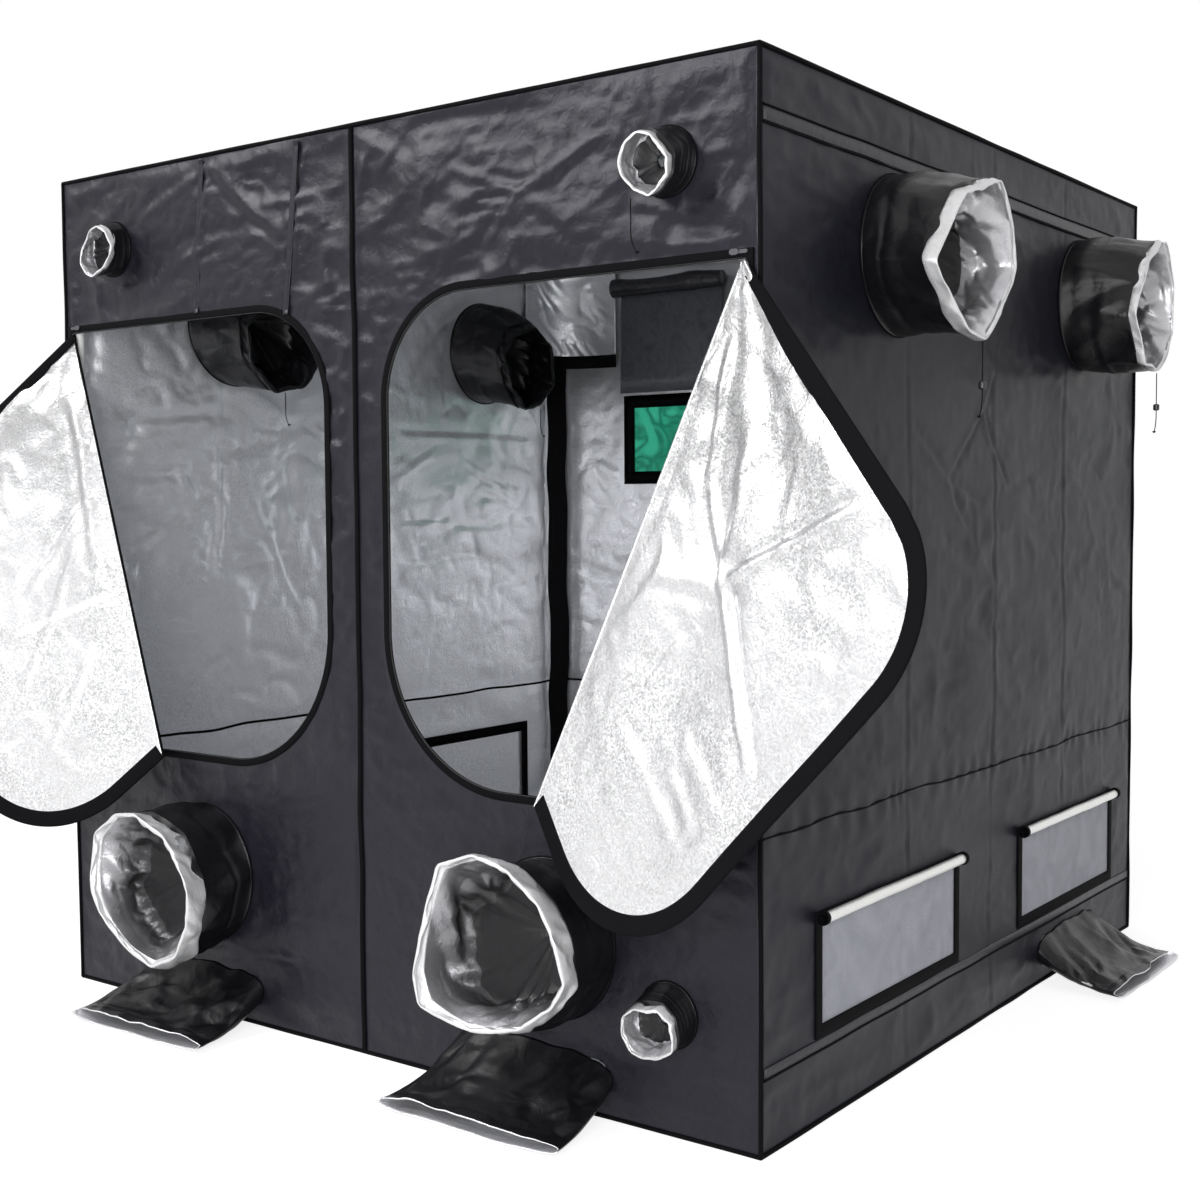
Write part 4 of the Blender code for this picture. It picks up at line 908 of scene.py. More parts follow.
seam_side = np.array((1.0, 0.0, 0.0))
straight_strip("centre_seam", front.place(0.0, sheet_low + PIPING, SEAM_LIFT),
               front.place(0.0, sheet_high - PIPING, SEAM_LIFT), seam_side, front.out,
               [(a, 0.7 * b) for a, b in ring(SEAM_BEAD, ROUND_SIDES)], webbing, 0.0035, 120)
for name, (start, end) in FRONT_TAPES.items():
    straight_strip(name, front.place(*start, FRONT_TAPE_LIFT), front.place(*end, FRONT_TAPE_LIFT), seam_side,
                   front.out, strip_profile(-FRONT_TAPE_HALF, FRONT_TAPE_HALF, FRONT_TAPE_THICK),
                   shell_cloth, 0.003, 125)
for name, (level_, wide) in SIDE_BANDS.items():
    is_tape = wide > TAPE_WIDE
    straight_strip(name, right.place(BAND_END - side_reach, level_, BAND_LIFT),
                   right.place(side_reach - BAND_END, level_, BAND_LIFT), right.up, right.out,
                   strip_profile(-wide / 2, wide / 2, BAND_TAPE_THICK if is_tape else BAND_BEAD_THICK),
                   shell_cloth if is_tape else webbing, 0.0015, 130)
knee = [(right, "right", side_reach), (left, "left", side_reach), (back, "back", half_side)]
for seed, (wall, name, wall_end) in enumerate(knee):
    reach = wall_end - BAND_END
    for face, (lift, thick) in KNEE_FACES.items():
        straight_strip(f"knee_seam_{name}_{face}", wall.place(-reach, KNEE_LEVEL, lift),
                       wall.place(reach, KNEE_LEVEL, lift), wall.up, wall.out,
                       strip_profile(-KNEE_HALF, KNEE_HALF, thick), webbing, 0.005, 140 + seed)


def zip_finish():
    """Nylon zip coil: rows of teeth across the bead, from a sine of the distance along it; the colour is
    painted shade between the teeth and painted highlight on them.
    """
    made, tree, shader = new_finish("zip_coil", (0.02, 0.02, 0.021), 0.45)
    teeth, = threads(tree, own_map(tree), "X", ZIP_PITCH)
    # Painted shade and highlight: darker between the teeth, paler on them.
    shade_by(tree, shader, teeth, -1.0, 1.0, ((0.008, 0.008, 0.008), (0.06, 0.06, 0.06)))
    raise_by(tree, shader, [(teeth, 0.0006, 0.9)])
    return made


zip_coil = zip_finish()
for side, sign in (("left", -1), ("right", 1)):
    bound_edge(f"zip_tape_{side}", front, door_hole(sign), strip_profile(*ZIP_TAPE, TAPE_LIFT), webbing)
    bound_edge(f"zip_tape_inside_{side}", front, door_hole(sign), strip_profile(*ZIP_TAPE, -0.002), webbing,
               lift=-CLOTH)
    bound_edge(f"zip_coil_{side}", front, door_hole(sign), ring(ZIP_COIL, 8), zip_coil, lift=-CLOTH / 2)

# Zip sliders: die-cast black-nickel bodies with a pull tab, parked at each door's hinge corner.
zip_metal = grained_finish("zip_metal", (0.12, 0.12, 0.13), 0.30, 900.0, 3.0,
                           ((0.09, 0.09, 0.10), (0.17, 0.17, 0.18)), (0.0001, 0.4), Metallic=1.0)
for side in ("left", "right"):
    coat(f"zip_slider_{side}", zip_metal)

# Doors: each D-shaped door is one sheet that hangs open and has folded back over itself along
# a crease from its top hinge corner, so that its silvered inside shows on the outside.
DOOR_LEAN = math.radians(11.5)
DOOR_FOLD = math.radians(147.7)
CREASE_ASIDE = 0.427
CREASE_GAP = 0.0004
CREASE_ROLL = 0.0032
FLAP_RAYS = 150
FLAP_RINGS = 130
FLAP_WAVE = 0.007
FLAP_FLAT_SHARE = 0.87
FLAP_SECOND_SHARE = 0.6
BINDING = 0.036
BINDING_THICKNESS = 0.0052
BINDING_EDGE = 0.004
CREASE_POINTS = 90
CREASE_START = 0.004
RIM_POINTS = 130
TOP_POINTS = 50
TOP_END = -0.003
RIM_SHARE = 0.97
PANEL_ROWS = 79
PANEL_COLUMNS = 36
HALVINGS = 40
HAIR = 1e-7
FOLD_GAIN = 1.4
STAR = (-0.455, -0.372)
STAR_FOLDS = [
    (STAR, (-0.60, -0.055), 0.011, 0.0060), (STAR, (-0.809, -0.515), 0.010, 0.0065),
    (STAR, (-0.25, -0.30), 0.012, 0.0060), (STAR, (-0.262, -0.163), 0.018, 0.0045),
    (STAR, (-0.30, -0.50), 0.013, 0.0040), ((-0.251, -0.302), (-0.08, -0.091), 0.012, 0.0040),
    ((-0.47, -0.724), (-0.80, -0.72), 0.014, 0.0030), ((-0.46, -0.63), (-0.461, -0.466), 0.009, 0.0028),
    ((-0.60, -0.60), (-0.81, -0.60), 0.014, 0.0026), ((-0.62, -0.66), (-0.79, -0.665), 0.012, 0.0022)]
LEFT_FLAP_FOLDS = [
    ((-0.215, -0.379), (-0.498, -0.447), 0.014, 0.0060), ((-0.322, -0.606), (-0.60, -0.50), 0.012, 0.0050),
    ((-0.10, -0.16), (-0.33, -0.62), 0.016, 0.0050), ((-0.413, -0.679), (-0.66, -0.80), 0.012, 0.0050),
    ((-0.30, -0.45), (-0.70, -0.66), 0.014, 0.0045)]

door_wide = DOOR_HINGE - DOOR_NEAR
door_high = DOOR_TOP - DOOR_SILL
door_shape = (-door_wide, 0.0, -door_high, 0.0, (DOOR_TOP_RADIUS, 0.0, 0.0, DOOR_BOTTOM_RADIUS))
crease_angle = math.atan2(CREASE_ASIDE, door_high)
crease_down = np.array((-CREASE_ASIDE, -door_high)) / math.hypot(CREASE_ASIDE, door_high)
crease_aside = np.array((crease_down[1], -crease_down[0]))


def flap_reach(angle):
    """Distance from the top hinge corner to the door's edge along rays, found by halving.

    The angle is measured from straight down towards the free side.
    """
    low = np.zeros_like(angle)
    high = np.full_like(angle, 2 * door_high)
    for _ in range(HALVINGS):
        middle = (low + high) / 2
        x = -middle * np.sin(angle) - HAIR
        z = -middle * np.cos(angle) - HAIR
        inside = hole_distance(x, z, door_shape) < 0
        low = np.where(inside, middle, low)
        high = np.where(inside, high, middle)
    return low


def flap_height(turn_, share, x, z, folds, seed):
    """Height of the flap off its plane: broad folds that fan out from the corner, as sines of the turn
    round it, and, away from the edges, ridges along lines, two sizes of facets and a crumple."""
    along = FLAP_FLAT_SHARE * np.minimum(1.0, share / FLAP_FLAT_SHARE)
    fade = np.sin(np.pi * turn_) * np.sin(np.pi * along) ** 1.5
    fan = np.sin(5 * np.pi * turn_) + FLAP_SECOND_SHARE * np.sin(3 * np.pi * turn_ + 2.2 * share)
    height = FLAP_WAVE * fade * fan
    edge = smooth_step(1.0 - share, 0.03, 0.12) * smooth_step(turn_, 0.0, 0.06)
    edge = edge * smooth_step(1.0 - turn_, 0.04, 0.12)
    sharp = FOLD_GAIN * sharp_folds(x, z, folds, seed + 1) + 0.0070 * facets(x, z, 0.19, seed + 3)
    sharp = sharp + 0.0024 * facets(x, z, 0.085, seed + 5) + 0.0014 * crumple(x, z, 0.060, seed + 7)
    return height + edge * sharp


def turned_by(points, matrix):
    """Points after a 4 by 4 placement."""
    matrix = np.array(matrix)
    return points @ matrix[:3, :3].T + matrix[:3, 3]


def door_sheet(name, x, z, height, sign, groups, placement, finishes, thickness):
    """Part of a door as a lined sheet: rows of points on the flat door, and last its top hinge corner."""
    points = np.concatenate([np.stack([sign * x, height, z], axis=-1).reshape(-1, 3), [(0.0, 0.0, 0.0)]])
    spans = np.concatenate([np.stack([x, z], axis=-1).reshape(-1, 2), [(0.0, 0.0)]])
    piece = new_piece(name, turned_by(points, placement), groups, finishes,
                      maps=[spans[group] for group in groups], solid=False)
    add_lining(piece, thickness)
    return piece


# The flap's silver is a darker copy of the wall lining's, and its fade is painted shade: the colour falls to
# 0.60 of itself from z 0.95 up to 1.45, darker towards the flap's top.
flap_silver = silver_finish("flap_silver", (0.72, 0.72, 0.73), 0.34, 0.035, 0.0036, spread=0.22, depth=0.09,
                            fade=("Z", 0.95, 1.45, 0.60))
for side, sign in (("left", -1), ("right", 1)):
    hinge_top = Matrix.Translation((sign * DOOR_HINGE, -half_side, DOOR_TOP))
    lean = hinge_top @ Matrix.Rotation(sign * DOOR_LEAN, 4, "Z")
    axis = (sign * crease_down[0], 0.0, crease_down[1])
    shift = Matrix.Translation((sign * crease_aside[0] * CREASE_GAP, 0.0, crease_aside[1] * CREASE_GAP))
    folded = lean @ Matrix.Rotation(-sign * DOOR_FOLD, 4, axis) @ shift
    folds = STAR_FOLDS if sign > 0 else LEFT_FLAP_FOLDS
    seed = 200 if sign > 0 else 230

    turns, shares = np.meshgrid(np.linspace(0.0, 1.0, FLAP_RAYS), np.linspace(0.0, 1.0, FLAP_RINGS + 1)[1:],
                                indexing="ij")
    angle = crease_angle + (np.pi / 2 - crease_angle) * turns
    away = flap_reach(angle) * shares
    x = -away * np.sin(angle)
    z = -away * np.cos(angle)
    height = flap_height(turns, shares, x, z, folds, seed)
    cells = grid_quads(FLAP_RAYS, FLAP_RINGS)
    first = np.arange(FLAP_RAYS - 1) * FLAP_RINGS
    tip = np.stack([np.full(FLAP_RAYS - 1, x.size), first, first + FLAP_RINGS], axis=1)
    groups = [cells, tip[:, [0, 2, 1]]] if sign > 0 else [cells[:, ::-1], tip]
    flap = door_sheet(f"flap_{side}", x, z, height, sign, groups, folded, [shell_cloth, flap_silver],
                      2 * CLOTH)

    round_edge = np.linspace(0.0, 1.0, RIM_POINTS)
    angle = crease_angle + (np.pi / 2 - crease_angle) * round_edge
    reach = flap_reach(angle)
    rim = np.stack([-reach * np.sin(angle), -reach * np.cos(angle)], axis=1)
    top = np.linspace(rim[-1, 0], TOP_END, TOP_POINTS)[1:]
    rim = np.concatenate([rim, np.stack([top, np.zeros_like(top)], axis=1)])
    round_edge = np.concatenate([round_edge, np.ones_like(top)])
    ahead = np.gradient(rim, axis=0)
    ahead /= np.linalg.norm(ahead, axis=1, keepdims=True)
    inward = np.stack([ahead[:, 1], -ahead[:, 0]], axis=1)
    inward *= np.sign(np.sum(inward[0] * -rim[0]))
    narrow = 1.0 - 0.45 * smooth_step(-run_lengths(rim)[::-1], -0.25, 0.0)
    wave = flap_height(round_edge, np.full_like(round_edge, RIM_SHARE), rim[:, 0], rim[:, 1], [], seed)
    path = np.stack([sign * rim[:, 0], wave + CLOTH, rim[:, 1]], axis=1)
    inward = np.stack([sign * inward[:, 0], np.zeros_like(round_edge), inward[:, 1]], axis=1)
    inward *= narrow[:, None]
    spin = np.array(folded)[:3, :3]
    half_thick = BINDING_THICKNESS / 2
    profile = [(0.0, -half_thick), (-0.0016, 0.0), (0.0, half_thick), (BINDING_EDGE, half_thick * 1.15),
               (BINDING - BINDING_EDGE, half_thick), (BINDING, 0.3 * half_thick),
               (BINDING, -0.3 * half_thick), (BINDING - BINDING_EDGE, -half_thick),
               (BINDING_EDGE, -half_thick * 1.15)]
    binding = carried(f"flap_binding_{side}", turned_by(path, folded), inward @ spin.T,
                      np.array((0.0, 1.0, 0.0)) @ spin.T, profile, webbing)
    down = np.linspace(CREASE_START, math.hypot(CREASE_ASIDE, door_high), CREASE_POINTS)
    path = np.stack([sign * crease_down[0] * down, np.full_like(down, CLOTH), crease_down[1] * down], axis=1)
    roll = carried(f"crease_{side}", turned_by(path, folded),
                   np.array((sign * crease_aside[0], 0.0, crease_aside[1])) @ spin.T,
                   np.array((0.0, 1.0, 0.0)) @ spin.T, ring(CREASE_ROLL, ROUND_SIDES), webbing)
    if sign > 0:
        roll.data.materials.append(flap_silver)
        lined = np.append(np.tile(np.arange(ROUND_SIDES) < ROUND_SIDES / 2, len(down) - 1), [False, False])
        roll.data.polygons.foreach_set("material_index", lined.astype(np.int32))
    settle(flap, f"door_{side}_flap", f"door_{side}_flap")
    settle(binding, f"door_{side}_flap")
    settle(roll, f"door_{side}_flap")

    downs, overs = np.meshgrid(np.linspace(0.0, 1.0, PANEL_ROWS + 1)[1:],
                               np.linspace(0.0, 1.0, PANEL_COLUMNS), indexing="ij")
    x = -CREASE_ASIDE * overs * downs
    z = -door_high * downs
    height = smooth_step(np.minimum(overs, 1 - overs), 0.0, 0.2) * 0.002 * facets(x, z, 0.08, seed + 9)
    cells = grid_quads(PANEL_ROWS, PANEL_COLUMNS)
    row = np.arange(PANEL_COLUMNS - 1)
    tip = np.stack([np.full(PANEL_COLUMNS - 1, x.size), row, row + 1], axis=1)
    groups = [cells, tip] if sign < 0 else [cells[:, ::-1], tip[:, ::-1]]
    panel = door_sheet(f"hinge_panel_{side}", x, z, height, sign, groups, lean, wall_finishes, CLOTH)
    settle(panel, f"door_{side}_panel", f"door_{side}_panel")

# Duct sleeves: thin coated cloth sewn round each duct hole, black outside and silvered inside, but black deep
# in the duct as painted shade.
# The mouth is turned back into a puffy silver cuff that holds a drawcord.
BIG_ROOT = 0.16
PORT_ROOT = 0.062
FLANGE = 0.004
SLEEVE_SKIN = 0.003
SLEEVE_ROWS = 44
CUFF_ROWS = 30
LINING_ROWS = 40
THROAT_SHARE = 0.18
THROAT_WIDE = 0.15
SILVER_SHARE = 0.40
CUFF_INSIDE = 0.25
CUFF_DENT = 0.0060
CUFF_TURN = 165.0
MOUTH_SOFT = 1
RINGS = 2.6
ROOT_LIFT = 0.0006
FLANGE_STEP = 0.002
FRONT_LENGTH = 0.180
SIDE_LENGTH = 0.190
INNER_LENGTH = 0.20
PORT_LENGTH = 0.064

sleeve_cloth = cloth_finish("black_sleeve_cloth", (0.0045, 0.0045, 0.0055), 0.30, 0.07, 0.05,
                            Specular_IOR_Level=0.30)
cuff_silver = silver_finish("cuff_silver", (0.72, 0.72, 0.73), 0.36, 0.030, 0.0010, metal=0.4, spread=0.1,
                            depth=0.08)


def mouth_radius(angles, corners):
    """Radius of a mouth whose cuff pulls straight between its corners, given as degrees and radii.

    A ray meets the straight edge from p to q at the cross product of p and q less p, over that of
    the ray and q less p. A running mean over some neighbours rounds the corners.
    """
    turns = np.radians([corner[0] for corner in corners]) % (2 * np.pi)
    order = np.argsort(turns)
    turns = turns[order]
    reach = np.array([corner[1] for corner in corners])[order]
    spots = np.stack([reach * np.cos(turns), reach * np.sin(turns)], axis=1)
    edge = (np.searchsorted(turns, angles, side="right") - 1) % len(turns)
    start = spots[edge]
    run = spots[(edge + 1) % len(turns)] - start
    ray = np.stack([np.cos(angles), np.sin(angles)], axis=1)
    radius = start[:, 0] * run[:, 1] - start[:, 1] * run[:, 0]
    radius = radius / (ray[:, 0] * run[:, 1] - ray[:, 1] * run[:, 0])
    steps = range(-MOUTH_SOFT, MOUTH_SOFT + 1)
    return sum(np.roll(radius, step) for step in steps) / len(steps)


def sleeve_skin(name, wall, middle, root, mouth_middle, length, corners, cuff, puff, finishes, seed,
                throat, columns=200, folds=12, ruck=1.0):
    """One closed skin over a sleeve: out along its body, round its cuff and back along its lining.

    At share s of its length the radius runs from the root's to the mouth's, as s to the power 1.3,
    and the middle drifts as s squared. Facets, rings and a ripple of the mouth's plane are added.
    The cuff is a flat band of uneven width turned back, dented in facets and pinched at its corners.
    The throat draws the lining in by a share, in pleats, and to one side.
    """
    angles = np.linspace(0.0, 2 * np.pi, columns, endpoint=False)
    mouth = mouth_radius(angles, corners)
    corner_pull = (mouth - mouth.mean()) / mouth.mean()
    facet = 2 * np.pi * root / folds
    around = angles * root
    cuff_share = 1.0 - cuff / length
    mouth_share = 1.0 - CUFF_INSIDE * cuff / length
    body = np.linspace(0.0, cuff_share, SLEEVE_ROWS)
    turn_ = np.radians(np.linspace(CUFF_TURN, -CUFF_TURN, CUFF_ROWS))
    inside = np.linspace(mouth_share, 0.0, LINING_ROWS)

    def rows(shares, outward, amount, key, along_share, fine=0.0):
        """Radius and reach of rows at some shares, moved outward, also by strain, and creased."""
        share, turn_around = np.meshgrid(shares, around, indexing="ij")
        blend = share ** 1.3
        base = root * (1 - blend) + mouth[None] * blend
        field = facets(turn_around, along_share * share * length, facet, seed + key, folds)
        field += 0.4 * facets(turn_around, along_share * share * length, facet / 2, seed + key + 4,
                              2 * folds)
        field += fine * facets(turn_around, share * length, facet / 4, seed + key + 8, 4 * folds)
        strain = np.clip(np.sin(np.pi * np.clip(share / shares.max(), 0, 1)), 0, 1) ** (0.9 if fine else 0.7)
        shift = 0.5 * noise(turn_around, share, 2 * facet, seed + key + 6, folds // 2)
        field = field + 0.12 * np.sin(2 * np.pi * (RINGS * share + shift)) * (1 - share)
        return base + outward[0] + strain * (outward[1] + amount * field), share * length

    body_radius, body_reach = rows(body, (0.0, 0.0), 0.095 * root * ruck, 1, 0.45)
    lining_radius, lining_reach = rows(inside, (-1.7 * puff, -0.10 * root), -0.19 * root, 21, 1.0, 0.30)
    narrowing = (ridge(inside - THROAT_SHARE, THROAT_WIDE) * (inside > 0))[:, None]
    bent = 5.5 * angles + 2.0 * noise(around, 0 * around, 2 * facet, seed + 51, folds // 2)
    pleats = np.abs(np.sin(bent))[None] - 0.6
    lining_radius = lining_radius * (1.0 - throat[0] * narrowing)
    lining_radius = lining_radius * (1.0 + 0.08 * narrowing * throat[0] * pleats)
    beside = np.linspace(0, SLEEVE_ROWS - 1, LINING_ROWS).astype(int)
    lining_radius = np.minimum(lining_radius, body_radius[::-1][beside] - SLEEVE_SKIN)
    pinch = 1.0 + 0.2 * noise(around, 0 * around, facet, seed + 41, folds)
    for degrees, _ in corners:
        apart = np.angle(np.exp(1j * (angles - math.radians(degrees))))
        pinch = pinch - 0.35 * ridge(apart, 0.08)
    over = around[None] + 0 * turn_[:, None]
    along_cuff = cuff * np.abs(turn_[:, None]) / np.pi + 0 * around[None]
    uneven = 1.0 + 0.35 * noise(around, 0 * around, facet / 2, seed + 49, 2 * folds)[None]
    band = np.where(turn_[:, None] > 0, cuff * uneven, CUFF_INSIDE * cuff)
    dents = facets(over, along_cuff, facet / 2, seed + 45, 2 * folds)
    dents += 0.7 * facets(over, along_cuff, facet / 4, seed + 47, 4 * folds)
    face = np.sin(turn_)[:, None] ** 2
    thick = np.sign(np.sin(turn_)) * np.abs(np.sin(turn_)) ** 0.4
    dent = CUFF_DENT * root / BIG_ROOT * dents * (0.3 + 0.7 * face)
    cuff_radius = mouth[None] - puff + puff * pinch[None] * thick[:, None] + dent
    cuff_reach = length - band / 2 * (1 - np.cos(turn_)[:, None])
    flange = np.stack([np.full(columns, root + FLANGE), np.full(columns, root + FLANGE)])
    flange_reach = np.stack([np.zeros(columns), np.full(columns, FLANGE_STEP)])
    radius = np.concatenate([flange, body_radius + 0.001, cuff_radius, lining_radius, lining_radius[-1:]])
    reach = np.concatenate([flange_reach, body_reach + FLANGE_STEP, cuff_reach,
                            np.maximum(lining_reach, 0.001), np.zeros((1, columns))])
    share = reach / length
    ripple = 0.05 * length * share * (np.cos(2 * angles + seed) - 2.2 * corner_pull)[None]
    sideways = np.zeros((len(radius), 1))
    sideways[2 + SLEEVE_ROWS + CUFF_ROWS:-1] = narrowing * throat[0]
    drift = share ** 2
    u = middle[0] + (mouth_middle[0] - middle[0]) * drift + sideways * throat[1] + radius * np.cos(angles)
    v = middle[1] + (mouth_middle[1] - middle[1]) * drift + sideways * throat[2] + radius * np.sin(angles)
    points = wall.place(u, v, reach + ripple + ROOT_LIFT)
    total = len(radius)
    cells = grid_quads(total, columns, wrap_rows=True, wrap_columns=True)
    row = np.repeat(np.arange(total), columns)
    # Painted shade: past the silver rows, the deepest rows of the lining take the black sleeve cloth.
    silvered = SLEEVE_ROWS + CUFF_ROWS + round(LINING_ROWS * (1 - SILVER_SHARE))
    ends = [row < 2, row < 2 + SLEEVE_ROWS, row < 2 + SLEEVE_ROWS + CUFF_ROWS, row < silvered]
    slots = np.select(ends, [3, 0, 1, 2], 0)
    i = np.arange(total)[:, None]
    j = np.arange(columns)[None, :]
    along = np.concatenate([[0.0], np.cumsum(np.linalg.norm(np.diff(points[:, 0], axis=0), axis=1))])
    spans = []
    for a, b in ((0, 0), (1, 0), (1, 1), (0, 1)):
        turned, run = np.broadcast_arrays((j + b) * around[1], along[np.minimum(i + a, total - 1)])
        spans.append(np.stack([turned, run], axis=-1).reshape(-1, 2))
    piece = new_piece(name, points, [cells], finishes, slots=slots, maps=[np.stack(spans, axis=1)])
    settle(piece, instead=name)


FRONT_RIGHT_MOUTH = [(136, .206), (105, .178), (73, .166), (39, .164), (15, .166), (-16, .182), (-34, .175),
                     (-68, .165), (-90, .169), (-111, .184), (-142, .240), (-157, .222), (164, .180)]
FRONT_LEFT_MOUTH = [(130, .174), (96, .145), (49, .143), (9, .143), (-7, .151), (-36, .170), (-60, .200),
                    (-85, .212), (-110, .186), (-146, .196), (-163, .213), (-174, .210), (159, .212)]
SIDE_FRONT_MOUTH = [(70, .171), (29, .166), (1, .193), (-11, .173), (-94, .1635), (-119, .180), (-161, .194),
                    (-172, .205), (128, .147)]
SIDE_REAR_MOUTH = [(69, .185), (21, .199), (-15, .181), (-92, .157), (-120, .168), (-168, .140), (126, .135),
                   (86, .164)]
PORT_MOUTH = [(112, .066), (83, .052), (9, .044), (-30, .051), (-69, .058), (-89, .063), (-129, .057),
              (-165, .065), (173, .072), (143, .070)]
INNER_MOUTH = [(80, .138), (35, .128), (-20, .140), (-62, .132), (-105, .142), (-150, .130),
               (165, .137), (122, .127)]

# Painted shade in the ducts: each lining's fade darkens it towards the wall, to 0.20 in the side sleeves and
# 0.10 in the front ones, and the front linings are a darker copy of the side linings' silver.
side_silver = silver_finish("side_sleeve_lining", (0.62, 0.62, 0.64), 0.32, 0.03, 0.0010, metal=0.6,
                            spread=0.1, depth=0.10, fade=("X", 1.19, 1.06, 0.20))
front_silver = silver_finish("front_sleeve_lining", (0.46, 0.46, 0.48), 0.30, 0.03, 0.0010, metal=0.7,
                             spread=0.1, depth=0.10, fade=("Y", -1.175, -1.085, 0.10))
port_silver = silver_finish("port_lining", (0.46, 0.46, 0.48), 0.32, 0.02, 0.0010, metal=0.6, spread=0.1,
                            depth=0.10)
front_finishes = [sleeve_cloth, cuff_silver, front_silver, webbing]
pale_finishes = [sleeve_cloth, cuff_silver, side_silver, webbing]
port_finishes = [sleeve_cloth, cuff_silver, port_silver, webbing]
sleeve_skin("duct_sleeve_front_right", front, FRONT_DUCT, BIG_ROOT, (0.515, 0.357), FRONT_LENGTH,
            FRONT_RIGHT_MOUTH, 0.050, 0.005, front_finishes, 300, throat=(0.96, 0.05, 0.03))
sleeve_skin("duct_sleeve_front_left", front, (-FRONT_DUCT[0], FRONT_DUCT[1]), BIG_ROOT, (-0.515, 0.357),
            FRONT_LENGTH, FRONT_LEFT_MOUTH, 0.050, 0.005, front_finishes, 400, throat=(0.96, 0.04, 0.02))
sleeve_skin("duct_sleeve_right_front", right, SIDE_DUCTS["front"], BIG_ROOT, (-0.46, 1.67), SIDE_LENGTH,
            SIDE_FRONT_MOUTH, 0.030, 0.0035, pale_finishes, 500, ruck=1.1, throat=(0.9, -0.03, 0.02))
sleeve_skin("duct_sleeve_right_rear", right, SIDE_DUCTS["rear"], BIG_ROOT, (0.59, 1.67), SIDE_LENGTH,
            SIDE_REAR_MOUTH, 0.020, 0.0030, pale_finishes, 600, ruck=1.1, throat=(0.9, 0.0, 0.0))
inner = Wall((-half_side + 0.003, 0.0, 0.0), (0.0, 1.0, 0.0))
black_finishes = [sleeve_cloth, sleeve_cloth, sleeve_cloth, webbing]
for end, seed in (("front", 700), ("rear", 740)):
    across, level_ = SIDE_DUCTS[end]
    sleeve_skin(f"inner_sleeve_left_{end}", inner, (across, level_), BIG_ROOT, (across, level_ - 0.060),
                INNER_LENGTH, INNER_MOUTH, 0.030, 0.006, black_finishes, seed, throat=(0.97, 0.0, 0.02))
turned_mouth = [(angle + 55, radius) for angle, radius in PORT_MOUTH]
left_mouth = [(180 - angle, radius) for angle, radius in PORT_MOUTH]
for place, middle, corners, seed in (("top_right", TOP_PORT, PORT_MOUTH, 800),
                                     ("top_left", (-TOP_PORT[0], TOP_PORT[1]), left_mouth, 840),
                                     ("low_right", LOW_PORT, turned_mouth, 880)):
    sleeve_skin(f"cable_port_{place}", front, middle, PORT_ROOT, (middle[0], middle[1] - 0.012), PORT_LENGTH,
                corners, 0.016, 0.003, port_finishes, seed, columns=120, folds=8, throat=(0.8, 0.0, 0.0))

# Floor socks: flat black sleeves at floor level that lie on the ground. Each has a thin silver
# lining that shows as a bright line along its flattened mouth.
SOCK_WIDE = 0.40
SOCK_MOUTH_WIDE = 0.45
SOCK_ROOT_LOW = 0.034
SOCK_ROOT_HIGH = 0.088
SOCK_MOUTH_HIGH = 0.026
SOCK_LENGTH = 0.215
SOCK_LIFT = 0.001
SOCK_LIP = 0.013
HEM_SHARE = 0.86
SOCK_COLUMNS = 220
SOCK_ROWS = 56
SOCK_LINING_ROWS = 24

sock_silver = silver_finish("sock_lining", (0.76, 0.76, 0.78), 0.28, 0.02, 0.0010, metal=0.8, spread=0.1,
                            depth=0.2)


